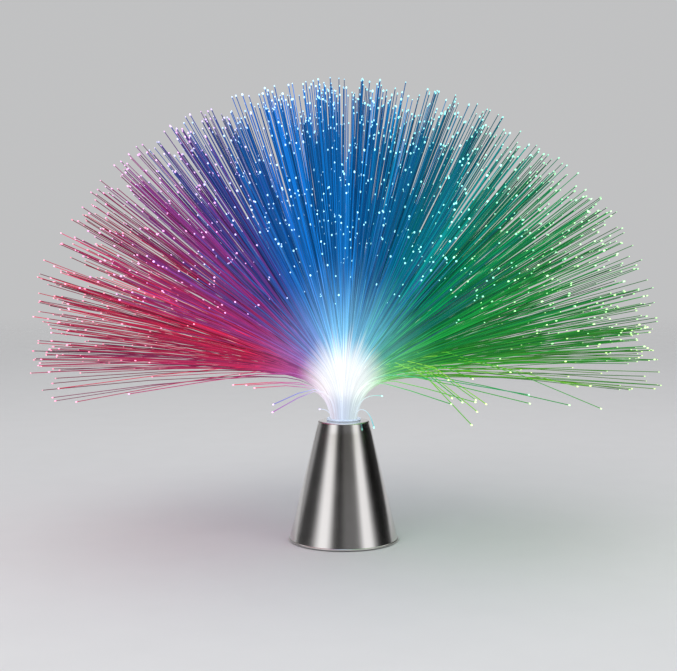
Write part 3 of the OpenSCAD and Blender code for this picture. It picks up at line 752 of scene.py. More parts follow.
def cylinder(name: str, radius: float, low: float, high: float, ends: str) -> bpy.types.Object:
    """An upright cylinder round the Z axis, seated at the origin.

    Args:
        name: The piece's name.
        radius: Its radius.
        low: Height of its foot.
        high: Height of its top.
        ends: How its ends are filled.

    Returns:
        The cylinder.
    """
    deselect()
    bpy.ops.mesh.primitive_cylinder_add(
        vertices=96, radius=radius, depth=high - low, end_fill_type=ends,
        location=(0, 0, (high + low) / 2),
    )
    piece = fresh(name)
    bpy.ops.object.transform_apply(location=True, rotation=True, scale=True)
    return piece


def lathe(name: str, outline: Outline, segments: int) -> bpy.types.Object:
    """Spins a closed outline round the Z axis.

    Args:
        name: The piece's name.
        outline: Radius and height of each corner, in order.
        segments: Steps of the spin.

    Returns:
        The solid.
    """
    deselect()
    bpy.ops.mesh.primitive_circle_add(vertices=len(outline), radius=outline[0][0])
    piece = fresh(name)
    for vertex, (radius, height) in zip(piece.data.vertices, outline):
        vertex.co = (radius, 0.0, height)
    bpy.ops.object.mode_set(mode="EDIT")
    bpy.ops.mesh.select_all(action="SELECT")
    bpy.ops.mesh.spin(steps=segments, angle=2 * math.pi, center=(0, 0, 0), axis=(0, 0, 1))
    weld(TURNED_EDGE)
    return piece


def sweep(name: str, path: Sequence[Vector], radius: float) -> bpy.types.Object:
    """A closed round tube along a path.

    Args:
        name: The piece's name.
        path: Its centre line.
        radius: Its radius.

    Returns:
        The tube, as a mesh.
    """
    curve = bpy.data.curves.new(name, "CURVE")
    curve.dimensions = "3D"
    curve.bevel_depth = radius
    curve.bevel_resolution = TUBE_RESOLUTION
    curve.use_fill_caps = True
    spline = curve.splines.new("POLY")
    spline.points.add(len(path) - 1)
    for point, place in zip(spline.points, path):
        point.co = (*place, 1.0)
    piece = linked(name, curve)
    deselect()
    piece.select_set(True)
    bpy.context.view_layer.objects.active = piece
    bpy.ops.object.convert(target="MESH")
    weld(SWEPT_EDGE)
    return fresh(name)


def smooth_route(points: Sequence[Point], steps: int = 8) -> list[Vector]:
    """A smooth curve through points.

    Args:
        points: The points, in metres.
        steps: Steps between two of them.

    Returns:
        The points of the curve.
    """
    ends = [Vector(p) for p in (points[0], *points, points[-1])]
    route = []
    for a, b, c, d in zip(ends, ends[1:], ends[2:], ends[3:]):
        for t in (k / steps for k in range(steps)):
            route.append(
                b + (c - a) * (t / 2)
                + (2 * a - 5 * b + 4 * c - d) * (t * t / 2)
                + (3 * b - a - 3 * c + d) * (t ** 3 / 2)
            )
    return [*route, ends[-1]]


def in_millimetres(*points: Point) -> list[Point]:
    """Points given in millimetres, in metres."""
    return [tuple(c * MM for c in p) for p in points]


class Assembly:
    """What the sub-assemblies share: dressing, seating and reporting their pieces."""

    def dress(self, node: str, finish: Finish) -> None:
        """Gives a piece of the frame its finish.

        Args:
            node: The piece's name in the frame.
            finish: Its finish.
        """
        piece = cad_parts[node]
        for slot in piece.material_slots:
            slot.material = finish.material()
        LOG.info("%s: %s", node, finish.name)

    def dress_all(self, finishes: dict[str, Finish]) -> None:
        """Gives each named piece of the frame its finish."""
        for node, finish in finishes.items():
            self.dress(node, finish)

    def seat(
        self, piece: bpy.types.Object, finish: Finish, body: Body, slot: str, *nodes: str
    ) -> bpy.types.Object:
        """Finishes a new piece and puts it on its body.

        Args:
            piece: The piece.
            finish: Its finish.
            body: The body that it rides on.
            slot: Name of a finish slot; not used.
            nodes: The nodes of the frame that it stands for.

        Returns:
            The piece.
        """
        piece.data.materials.clear()
        piece.data.materials.append(finish.material())
        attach(piece, body.value)
        if nodes:
            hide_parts(*nodes)
        LOG.info("%s: %d faces, %s", piece.name, len(piece.data.polygons), finish.name)
        return piece


# ------------------------------------------------------------------ cone and neck


@dataclass
class Cone(Assembly):
    """The spun cone: tapered wall, turned-in top with a rounded edge, and a bead at the foot."""

    foot_r: float = 41 * MM
    top_r: float = 19 * MM
    sheet: float = 0.8 * MM
    bead_r: float = 0.7 * MM
    bead_stand: float = 0.3 * MM
    edge_r: float = 1.2 * MM
    neck_hole_r: float = 11.5 * MM
    hole_edge: float = 0.15 * MM
    wall_rings: int = 12
    bead_arc: Pair = (85.0, -200.0)
    low: float = field(default_factory=lambda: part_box("cone_shell")[0].z)
    top: float = field(default_factory=lambda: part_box("cone_shell")[1].z)

    @property
    def taper(self) -> float:
        """What the radius loses for each metre of height."""
        return (self.foot_r - self.top_r) / (self.top - self.low)

    def radius(self, height: float) -> float:
        """Outer radius of the wall at a height."""
        return self.foot_r - (height - self.low) * self.taper

    def bore(self, height: float) -> float:
        """Inner radius of the wall at a height."""
        return self.radius(height) - self.sheet * math.hypot(1, self.taper)

    def outline(self) -> Outline:
        """Section through the sheet, from the bead up the outside and down the inside."""
        edge_z = self.top - self.edge_r
        inner_z = self.top - self.sheet
        bead = (self.foot_r + self.bead_stand - self.bead_r, self.low + self.bead_r)
        wall_z = self.low + 2 * self.bead_r
        wall = [wall_z + (edge_z - wall_z) * i / self.wall_rings for i in range(1, self.wall_rings)]
        return [
            *reversed(arc(bead, self.bead_r, *self.bead_arc, 22)),
            *((self.radius(z), z) for z in wall),
            *arc((self.radius(edge_z) - self.edge_r, edge_z), self.edge_r, 0, 90, 8),
            (self.neck_hole_r + self.hole_edge, self.top),
            (self.neck_hole_r, self.top - self.hole_edge),
            (self.neck_hole_r, inner_z),
            (self.bore(inner_z), inner_z),
            *((self.bore(z), z) for z in reversed(wall)),
        ]

    def build(self) -> None:
        """Builds and seats the cone."""
        shell = lathe("steel_cone", self.outline(), 256)
        self.seat(shell, STEEL, Body.BASE, "spun_steel", "cone_shell")


@dataclass
class Neck(Assembly):
    """Clear collar, ferrule and the potted bundle that they hold."""

    bore_r: float = 10.4 * MM
    tube_r: float = 11.4 * MM
    rim: float = 0.6 * MM
    edge: float = 0.15 * MM
    sink: float = POTTED_SINK
    slice_gap: float = 0.06 * MM
    ferrule_wall: float = 0.5 * MM

    def collar_outline(self) -> Outline:
        """Section through the collar: its tube below and its rounded flange above."""
        low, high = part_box("top_collar")
        seat_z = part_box("cone_shell")[1].z
        lip = self.bore_r + 2 * self.sink
        return [
            (self.bore_r, low.z),
            (self.tube_r, low.z),
            (self.tube_r, seat_z),
            (high.x - self.edge, seat_z),
            (high.x, seat_z + self.edge),
            *arc((high.x - self.rim, high.z - self.rim), self.rim, 0, 90, 8),
            (lip, high.z),
            *arc((lip, high.z - 2 * self.sink), 2 * self.sink, 90, 180, 6),
        ]

    def potted_slice(self, side: Side) -> bpy.types.Object:
        """One upright slice of the potted bundle, cut from a round bar.

        Args:
            side: Which of the three slices.

        Returns:
            The slice.
        """
        ferrule_low, ferrule_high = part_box("bundle_ferrule")
        radius = ferrule_high.x - self.ferrule_wall
        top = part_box("top_collar")[1].z - self.sink
        cut = radius / 3
        half_gap = self.slice_gap / 2
        bar = cylinder(f"potted_bundle_{side.name.lower()}", radius, ferrule_low.z, top, "NGON")
        bpy.ops.object.mode_set(mode="EDIT")
        for place, keep in ((-cut, 1), (cut, -1)):
            if side is Side.CENTRE or side.value * place > 0:
                inner = side is Side.CENTRE
                away = keep if inner else -keep
                bpy.ops.mesh.select_all(action="SELECT")
                bpy.ops.mesh.bisect(
                    plane_co=(place + away * half_gap, 0, 0), plane_no=(away, 0, 0),
                    use_fill=True, clear_inner=True,
                )
        bpy.ops.mesh.select_all(action="SELECT")
        bpy.ops.mesh.normals_make_consistent(inside=False)
        bpy.ops.object.mode_set(mode="OBJECT")
        modifier = bar.modifiers.new("edge", "BEVEL")
        modifier.width = self.edge
        modifier.segments = 2
        modifier.limit_method = "ANGLE"
        bpy.ops.object.modifier_apply(modifier=modifier.name)
        bpy.ops.object.shade_smooth_by_angle(angle=TURNED_EDGE)
        return bar

    def build(self) -> None:
        """Builds and seats the collar and the potted slices, and dresses the ferrule."""
        collar = lathe("clear_collar", self.collar_outline(), 128)
        self.seat(collar, ACRYLIC, Body.BASE, "clear_plastic", "top_collar")
        for side, slot in FIBRE_SLOTS.items():
            self.seat(self.potted_slice(side), POTTING, Body.BASE, slot)
        self.dress("bundle_ferrule", ALUMINIUM)


# ------------------------------------------------------------------ fibre spray


@dataclass(frozen=True)
class Stray:
    """A fibre that left the bundle's order: bent over lower than its neighbours, or cut short."""

    direction: float  # degrees from the right, over the back
    lean: float  # degrees from the vertical at its tip
    length: float
    bend: float  # length over which it bends
    station: float


STRAYS = tuple(
    Stray(direction, lean, length * MM, bend * MM, station)
    for direction, lean, length, bend, station in (
        (-35, 176, 30, 14, 0.35), (-35, 112, 36, 24, 0.45), (-40, 141, 120, 68, 0.97),
        (-28, 138, 129, 68, 0.93), (-40, 126, 151, 68, 1.0), (-15, 132, 117, 68, 0.9),
        (-28, 141, 103, 68, 0.95), (-44, 132, 136, 68, 0.88), (-36, 133, 138, 64, 0.98),
        (-48, 133, 156, 68, 0.94), (-28, 111, 154, 68, 0.92), (-15, 114, 216, 68, 0.86),
        (-18, 105, 193, 58, 0.96), (-52, 99, 150, 36, 0.92), (-60, 98, 148, 34, 0.8),
        (-48, 98, 190, 40, 0.85), (-40, 99, 204, 42, 0.75), (-31, 96, 206, 44, 0.95),
        (-52, 94, 200, 38, 0.6), (-125, 109, 92, 29, -0.55), (-128, 107, 86, 30, -0.45),
        (-150, 95, 98, 31, -0.75), (-155, 96, 84, 30, -0.7), (-161, 98, 74, 28, -0.8),
        (-158, 100, 212, 42, -0.9), (-166, 98, 222, 44, -0.8), (-140, 96, 196, 40, -0.65),
        (178, 120, 13, 9, -0.4), (64, 104, 188, 38, 0.7), (118, 102, 205, 40, -0.7),
    )
)


def sunflower(count: int, start: float = 0.0) -> np.ndarray:
    """Evenly spread places.

    Args:
        count: How many.
        start: Direction of the first one in radians.

    Returns:
        Places on a sunflower spiral in a disc of radius 1.
    """
    i = np.arange(count)
    turn = i * GOLDEN_TURN + start
    return np.sqrt((i + 0.5) / count)[:, None] * np.stack([np.cos(turn), np.sin(turn)], 1)


@dataclass
class FibreSpray(Assembly):
    """The fibres, from the potted face to their cut tips, as three pieces.

    They lean together in tufts, whose heads are spread as evenly as the roots. A lane is all that
    a tuft's fibres have in common in brightness.
    """

    count: int = 3100
    seed: int = 11
    # Tufts, in radii of the bundle: scatter of their heads and of the fibres round them, and how
    # far fibres are drawn towards their tuft's head
    tufts: int = 110
    head_scatter: float = 0.03
    aim_scatter: float = 0.014
    gathering: float = 0.38
    gathered: Pair = (0.3, 1.5)
    # Brightness: share of bright lanes, of a bright and a plain lane, of a fibre in its lane, and
    # share and brightness of the dim fibres
    bright_lanes: float = 0.22
    bright: Pair = (1.3, 1.7)
    plain: Pair = (0.55, 1.1)
    shades: Pair = (0.55, 1.35)
    dim_fibres: float = 0.1
    dim: float = 0.35
    # Scatter of the station, by which the colour goes
    tuft_hue: float = 0.045
    fibre_hue: float = 0.02
    # Length: share of fibres that are cut short and by how much, what the others lose at most, and
    # what all lose towards the sides
    cut_short: float = 0.46
    cut: Pair = (0.05, 0.42)
    trim: float = 0.08
    trim_bias: float = 1.6
    side_from: float = math.radians(68)
    side_cut: float = 0.065
    # Lean at the root, at the sides and in front, the way between the last two, and its scatter
    lean_root: float = math.radians(14)
    lean_side: float = math.radians(103)
    lean_front: float = math.radians(68)
    lean_blend: float = 1.5
    lean_scatter: float = math.radians(1.2)
    crowding: float = 2.35
    # Course: length over which a fibre bends, its scatter, turn aside and slow droop, and the
    # height that the droop takes from the longest
    bend: float = 36 * MM
    bend_scatter: float = 0.07
    drift: float = math.radians(2.5)
    droop: Pair = (0.08, 0.2)
    droop_h: float = 0.8 * MM
    # Section, and the swollen tip's size, its scatter, and its rings: place along it, back from
    # the end, and share of its radius
    root_r: float = 0.17 * MM
    strand_r: float = 0.33 * MM
    tip_r: float = 0.52 * MM
    tip_l: float = 1.5 * MM
    tips: Pair = (0.5, 1.25)
    tip_rings: tuple[Pair, ...] = ((-0.55, 1.0), (-0.15, 0.85), (0.0, 0.4))
    # Roots: the circle they fill, depth in the potting, and share of the length that is still thin
    bundle_r: float = 9.5 * MM
    root_depth: float = 0.6 * MM
    root_reach: float = 0.02
    # Strays: place of their roots, as a share of that circle, and their brightness
    stray_root: float = 0.985
    stray_shade: float = 1.6
    # Share of its column on the baking map that a fibre fills, and steps of a fibre's path
    map_fill: float = 0.9
    steps: int = 84
    top: float = field(default_factory=lambda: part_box("top_collar")[1].z - POTTED_SINK)
    highest: float = field(default_factory=lambda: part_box("fibres_centre")[1].z)
    # Steps of a fibre's path that get a ring: the more it bends, the more rings. The last set is
    # for fibres that are cut very short
    rings: tuple[tuple[int, ...], ...] = (
        (0, 4, 9, 15, 24, 44, 84),
        (0, 3, 6, 9, 12, 16, 22, 34, 54, 84),
        (0, 2, 4, 6, 8, 10, 12, 15, 19, 26, 38, 56, 84),
        tuple(range(0, 85, 7)),
    )
    short: float = 60 * MM
    ring_limits: Pair = (0.2, 0.5)

    @property
    def longest(self) -> float:
        """Length of the longest fibres, which stand nearly upright."""
        return self.highest - self.top + self.droop_h

    def end_lean(self, share: np.ndarray, turn: np.ndarray) -> np.ndarray:
        """Lean at the tips: a crowding of 2 covers the dome evenly, and more thins its edge."""
        forward = np.abs(np.sin(turn)) ** self.lean_blend
        widest = self.lean_side - (self.lean_side - self.lean_front) * forward
        return np.arccos(1 - share**self.crowding * (1 - np.cos(widest)))

    def roots(self, rng: np.random.Generator) -> dict[str, np.ndarray]:
        """Where the fibres are rooted, and what each is like.

        Args:
            rng: Source of the small irregularities.

        Returns:
            Arrays with one entry for each fibre.
        """
        spot = sunflower(self.count)
        heads = sunflower(self.tufts, 1.0)
        heads += rng.normal(0, self.head_scatter, heads.shape)
        tuft = np.linalg.norm(spot[:, None] - heads[None], axis=2).argmin(1)
        pull = self.gathering * rng.uniform(*self.gathered, self.tufts)[tuft]
        aim = spot + (heads[tuft] - spot) * pull[:, None] + rng.normal(0, self.aim_scatter, spot.shape)
        aim *= np.minimum(1, 1 / np.maximum(np.linalg.norm(aim, axis=1), 1e-6))[:, None]
        aim_share = np.linalg.norm(aim, axis=1)
        aim_turn = np.arctan2(aim[:, 1], aim[:, 0])
        lane = np.where(
            rng.random(self.tufts) < self.bright_lanes,
            rng.uniform(*self.bright, self.tufts), rng.uniform(*self.plain, self.tufts),
        )
        shade = lane[tuft] * rng.uniform(*self.shades, self.count)
        shade[rng.random(self.count) < self.dim_fibres] *= self.dim
        tuft_hue = rng.normal(0, self.tuft_hue, self.tufts)[tuft]
        cut = np.where(
            rng.random(self.count) < self.cut_short, rng.uniform(*self.cut, self.count),
            self.trim * rng.random(self.count) ** self.trim_bias,
        )
        scatter = rng.normal(0, self.lean_scatter, self.count) * aim_share
        end = self.end_lean(aim_share, aim_turn) + scatter
        low_side = np.clip((end - self.side_from) / (self.lean_side - self.side_from), 0, 1)
        return {
            "spot": spot,
            "share": aim_share,
            "turn": aim_turn,
            "end": end,
            "drift": rng.normal(0, self.drift, self.count),
            "droop": rng.uniform(*self.droop, self.count),
            "length": self.longest * (1 - cut) * (1 - self.side_cut * low_side),
            "bend": self.bend * rng.normal(1, self.bend_scatter, self.count),
            "shade": shade,
            "station": np.clip(aim[:, 0] + tuft_hue + rng.normal(0, self.fibre_hue, self.count), -1, 1),
            "tip": rng.uniform(*self.tips, self.count),
        }

    def with_strays(self, fibre: dict[str, np.ndarray]) -> dict[str, np.ndarray]:
        """Adds the stray fibres, rooted at the bundle's edge."""
        turn = np.radians([s.direction for s in STRAYS])
        ones = np.ones(len(STRAYS))
        extra = {
            "spot": self.stray_root * np.stack([np.cos(turn), np.sin(turn)], 1),
            "share": ones,
            "turn": turn,
            "end": np.radians([s.lean for s in STRAYS]),
            "drift": 0 * ones,
            "droop": self.droop[0] * ones,
            "length": np.array([s.length for s in STRAYS]),
            "bend": np.array([s.bend for s in STRAYS]),
            "shade": self.stray_shade * ones,
            "station": np.array([s.station for s in STRAYS]),
            "tip": ones,
        }
        return {key: np.concatenate([fibre[key], extra[key]]) for key in fibre}

    def paths(self, fibre: dict[str, np.ndarray]) -> tuple[np.ndarray, np.ndarray]:
        """Centre lines of the fibres.

        Args:
            fibre: What each fibre is like, as roots gives it.

        Returns:
            Places, as fibres by steps by three, and distances from the potted face.
        """
        turn = fibre["turn"][:, None]
        grid = np.linspace(0, 1, self.steps + 1)[None] * fibre["length"][:, None]
        middle = (grid[:, 1:] + grid[:, :-1]) / 2
        root_lean = self.lean_root * fibre["share"][:, None]
        bent = 1 - np.exp(-((middle / fibre["bend"][:, None]) ** 2))
        droop = fibre["droop"][:, None]
        bent = (1 - droop) * bent + droop * middle / self.longest
        lean = root_lean + (fibre["end"][:, None] - root_lean) * bent
        heading = turn + fibre["drift"][:, None] * middle / self.longest
        step = (grid[:, 1] - grid[:, 0])[:, None]
        moves = step[..., None] * np.stack(
            [np.sin(lean) * np.cos(heading), np.sin(lean) * np.sin(heading), np.cos(lean)], 2
        )
        travel = np.concatenate([np.zeros((len(moves), 1, 3)), moves.cumsum(1)], 1)
        foot = np.concatenate([fibre["spot"] * self.bundle_r, np.full((len(turn), 1), self.top)], 1)
        low, high = (np.array(c) for c in CAD_BOX)
        margin = self.tip_r
        room = np.where(travel[:, -1] > 0, high - margin - foot, foot - low - margin)
        fit = np.minimum(1, (room / np.maximum(np.abs(travel), 1e-9).max(1)).min(1))
        return foot[:, None] + travel * fit[:, None, None], grid

    def mesh(self, name: str, fibre: dict[str, np.ndarray], chosen: np.ndarray) -> bpy.types.Object:
        """Builds the tubes of some of the fibres.

        Args:
            name: The piece's name.
            fibre: What each fibre is like.
            chosen: Which fibres belong to the piece.

        Returns:
            The piece, with the attributes that its finish reads.
        """
        places, grid = self.paths(fibre)
        points, faces, uvs = [], [], []
        data = {"station": [], "along": [], "shade": [], "tip": []}
        squared = fibre["share"] ** 2
        level = (squared > self.ring_limits[0]).astype(int) + (squared > self.ring_limits[1])
        level[fibre["length"] < self.short] = len(self.rings) - 1
        order = np.argsort(fibre["station"][chosen]).argsort()
        column = dict(zip(np.flatnonzero(chosen), order))
        total = int(chosen.sum())
        start = 0
        for rings_level, rings in enumerate(self.rings):
            for f in np.flatnonzero(chosen & (level == rings_level)):
                ring = self.rings_of(places[f], grid[f], rings, fibre["tip"][f], fibre["turn"][f])
                count = len(ring["along"])
                points.append(ring["points"].reshape(-1, 3))
                for key in ("station", "shade"):
                    data[key].append(np.full(count * FIBRE_SIDES, fibre[key][f]))
                for key in ("along", "tip"):
                    data[key].append(np.repeat(ring[key], FIBRE_SIDES))
                made, flat = self.skin(count, start, column[f] / total, self.map_fill / total)
                faces += made
                uvs += flat
                start += count * FIBRE_SIDES
        mesh = bpy.data.meshes.new(name)
        mesh.from_pydata(np.concatenate(points).tolist(), [], faces)
        for key, values in data.items():
            layer = mesh.attributes.new(key, "FLOAT", "POINT")
            layer.data.foreach_set("value", np.concatenate(values).astype(np.float32))
        layer = mesh.uv_layers.new(name=BAKE_MAP)
        layer.uv.foreach_set("vector", np.array(uvs, np.float32).ravel())
        mesh.polygons.foreach_set("use_smooth", np.ones(len(faces), bool))
        mesh.update()
        return linked(name, mesh)

    def rings_of(
        self, path: np.ndarray, grid: np.ndarray, rings: tuple[int, ...], tip: float, turn: float
    ) -> dict[str, np.ndarray]:
        """The rings of one fibre.

        Args:
            path: Its centre line.
            grid: Distance of each point of the path from the potted face.
            rings: The steps that get a ring.
            tip: Size of its tip.
            turn: Direction that it leans in.

        Returns:
            The rings' points, with along and tip for each ring.
        """
        steps = np.array(rings)
        centre = path[steps]
        heading = path[np.minimum(steps + 1, self.steps)] - path[np.maximum(steps - 1, 0)]
        heading /= np.linalg.norm(heading, axis=1)[:, None]
        along = grid[steps] / self.longest
        radius = np.where(along < self.root_reach, self.root_r, self.strand_r)
        centre[0] -= [0, 0, self.root_depth]
        tip_at, tip_share = np.array(self.tip_rings).T
        back = np.array([-1.0, *tip_at])[:, None] * heading[-1] * (self.tip_l * tip)
        centre = np.concatenate([centre[:-1], centre[-1] + back])
        heading = np.concatenate([heading[:-1], np.repeat(heading[-1:], len(back), 0)])
        along = np.concatenate([along[:-1], np.repeat(along[-1:], len(back))])
        radius = np.concatenate([radius[:-1], [self.strand_r], tip_share * self.tip_r * tip])
        shine = np.concatenate([np.zeros(len(steps)), np.ones(len(tip_at))])
        across = np.array([-math.sin(turn), math.cos(turn), 0.0])
        across = across - (heading @ across)[:, None] * heading
        across /= np.linalg.norm(across, axis=1)[:, None]
        third = np.cross(heading, across)
        angles = (2 * np.arange(FIBRE_SIDES) + 1) * math.pi / FIBRE_SIDES
        right, up = np.cos(angles)[None, :, None], np.sin(angles)[None, :, None]
        points = centre[:, None] + radius[:, None, None] * (right * across[:, None] + up * third[:, None])
        return {"points": points, "along": along, "tip": shine}

    @staticmethod
    def skin(rings: int, start: int, left: float, width: float) -> tuple[list, list]:
        """Faces of one fibre, with their places on the baking map.

        Args:
            rings: How many rings it has.
            start: Number of its first point.
            left: Left edge of its column on the map.
            width: Width of that column.

        Returns:
            The faces and the map's places for their corners.
        """
        faces, uvs = [], []
        for i in range(rings - 1):
            low, high = i / (rings - 1), (i + 1) / (rings - 1)
            ring = start + i * FIBRE_SIDES
            above = ring + FIBRE_SIDES
            for k in range(FIBRE_SIDES):
                n = (k + 1) % FIBRE_SIDES
                faces.append((ring + k, ring + n, above + n, above + k))
                u, v = left + width * k / FIBRE_SIDES, left + width * (k + 1) / FIBRE_SIDES
                uvs += [(u, low), (v, low), (v, high), (u, high)]
        last = start + (rings - 1) * FIBRE_SIDES
        faces.append(tuple(range(start + FIBRE_SIDES - 1, start - 1, -1)))
        faces.append(tuple(range(last, last + FIBRE_SIDES)))
        for low in (0.0, 1.0 - 0.5 / rings):
            high = low + 0.5 / rings
            uvs += [(left, low), (left + width, low), (left + width, high), (left, high)]
        return faces, uvs

    def build(self) -> None:
        """Builds and seats the three pieces of the spray."""
        fibre = self.with_strays(self.roots(np.random.default_rng(self.seed)))
        x = fibre["spot"][:, 0]
        thirds = np.sign(x) * (np.abs(x) > 1 / 3)
        for side, slot in FIBRE_SLOTS.items():
            name = side.name.lower()
            piece = self.mesh(f"fibre_spray_{name}", fibre, thirds == side.value)
            self.seat(piece, FIBRE, Body.BASE, slot, f"fibres_{name}")


# ------------------------------------------------------------------ inside


class LightSource(Assembly):
    """Light tube, board, lamps and what fastens them."""

    def build(self) -> None:
        """Dresses the light source."""
        self.dress_all({"light_tube": WHITE_PLASTIC, "led_board": BOARD, **LENSES})
        self.dress_all({"board_resistors": CHIP, "board_screws": ZINC, "tube_screws": ZINC})


@dataclass
class BatteryBay(Assembly):
    """Housing, cells, contacts, springs and wires."""

    spring_turns: int = 4
    flat_turns: float = 0.5
    spring_wire: float = 0.6 * MM
    spring_base_r: float = 4.2 * MM
    spring_tip_r: float = 2.4 * MM
    turn_steps: int = 28
    wire_r: float = 0.6 * MM

    def spring(self, name: str, side: int) -> bpy.types.Object:
        """A conical contact spring, flat for half a turn at either end.

        Args:
            name: The node that it stands for.
            side: Side of the bay that its wide end rests on, 1 at the back and -1 in front.

        Returns:
            The spring.
        """
        low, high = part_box(name)
        cell_low, cell_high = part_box(name.replace("spring", "cell"))
        z = (cell_low.z + cell_high.z) / 2
        x = (cell_low.x + cell_high.x) / 2
        start = high.y if side > 0 else low.y
        total = self.spring_turns * self.turn_steps
        coil_l = (high.y - low.y) - self.spring_wire
        rising_turns = self.spring_turns - 2 * self.flat_turns
        path = []
        for i in range(total + 1):
            t = i / total
            angle = 2 * math.pi * self.spring_turns * t
            radius = self.spring_base_r + (self.spring_tip_r - self.spring_base_r) * t
            rise = min(1.0, max(0.0, (t * self.spring_turns - self.flat_turns) / rising_turns))
            y = start - side * (self.spring_wire / 2 + coil_l * rise)
            path.append(Vector((x + radius * math.cos(angle), y, z + radius * math.sin(angle))))
        return sweep(f"coil_{name}", path, self.spring_wire / 2)

    def routes(self) -> dict[str, list[Point]]:
        """Routes of the three wires, from end to end."""
        switch_low, switch_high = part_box("switch_body")
        pin_z = switch_high.z / MM
        switch_x = (switch_low.x + switch_high.x) / 2 / MM
        board_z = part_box("led_board")[0].z / MM
        return {
            "wire_battery": in_millimetres(
                (-14.9, 27.5, 22.3), (-14.9, 26.1, 22.3), (-11, 25, 22.3), (0, 25.6, 22.3),
                (12, 25.2, 22.1), (21, 21.5, 20.1), (28, 13, 15.6), (switch_x, 4.5, pin_z + 2),
                (switch_x, 2.5, pin_z + 1), (switch_x, 2.5, pin_z),
            ),
            "wire_switched": in_millimetres(
                (switch_x, 0, pin_z), (switch_x, 0, pin_z + 3), (30, -3, 20.1), (26.5, -9, 26.1),
                (21, -14, 31.1), (15, -15.5, 30.1), (9.9, -13.9, 30.1), (6.2, -9.6, 33.1),
                (5, -8.5, 39.1), (5, -8.5, board_z - 3), (5, -8.5, board_z),
            ),
            "wire_return": in_millimetres(
                (14.9, -27.5, 22.3), (14.9, -26.1, 22.3), (14.2, -25, 26.1), (12.5, -23.4, 29.6),
                (9.7, -19.1, 30.1), (7.1, -15.5, 30.1), (2.6, -10.6, 33.1), (1.5, -9.5, 39.1),
                (1.5, -9.5, board_z - 3), (1.5, -9.5, board_z),
            ),
        }

    def build(self) -> None:
        """Dresses the bay and builds its springs and wires."""
        self.dress_all({
            "battery_housing": BLACK_PLASTIC, "cell_1": CELLS[1], "cell_2": CELLS[-1],
            "cell_3": CELLS[1], "terminal_plus": NICKEL, "terminal_minus": NICKEL,
            "link_front": NICKEL, "link_back": NICKEL,
        })
        for node, side in (("spring_1", -1), ("spring_2", 1), ("spring_3", -1)):
            self.seat(self.spring(node, side), SPRING_STEEL, Body.BASE, "spring_wire", node)
        for node, route in self.routes().items():
            finish = BLACK_SLEEVE if node == "wire_return" else RED_SLEEVE
            wire = sweep(node.replace("wire_", "sleeve_"), smooth_route(route), self.wire_r)
            self.seat(wire, finish, Body.BASE, finish.name, node)


class Underside(Assembly):
    """Battery door, slide switch and feet."""

    def build(self) -> None:
        """Dresses the underside."""
        self.dress_all({
            "battery_door": BLACK_PLASTIC, "door_screw": ZINC, "switch_screws": ZINC,
            "switch_body": TINNED, "switch_slider": KNOB_PLASTIC, "rubber_feet": RUBBER,
        })


# ------------------------------------------------------------------ studio


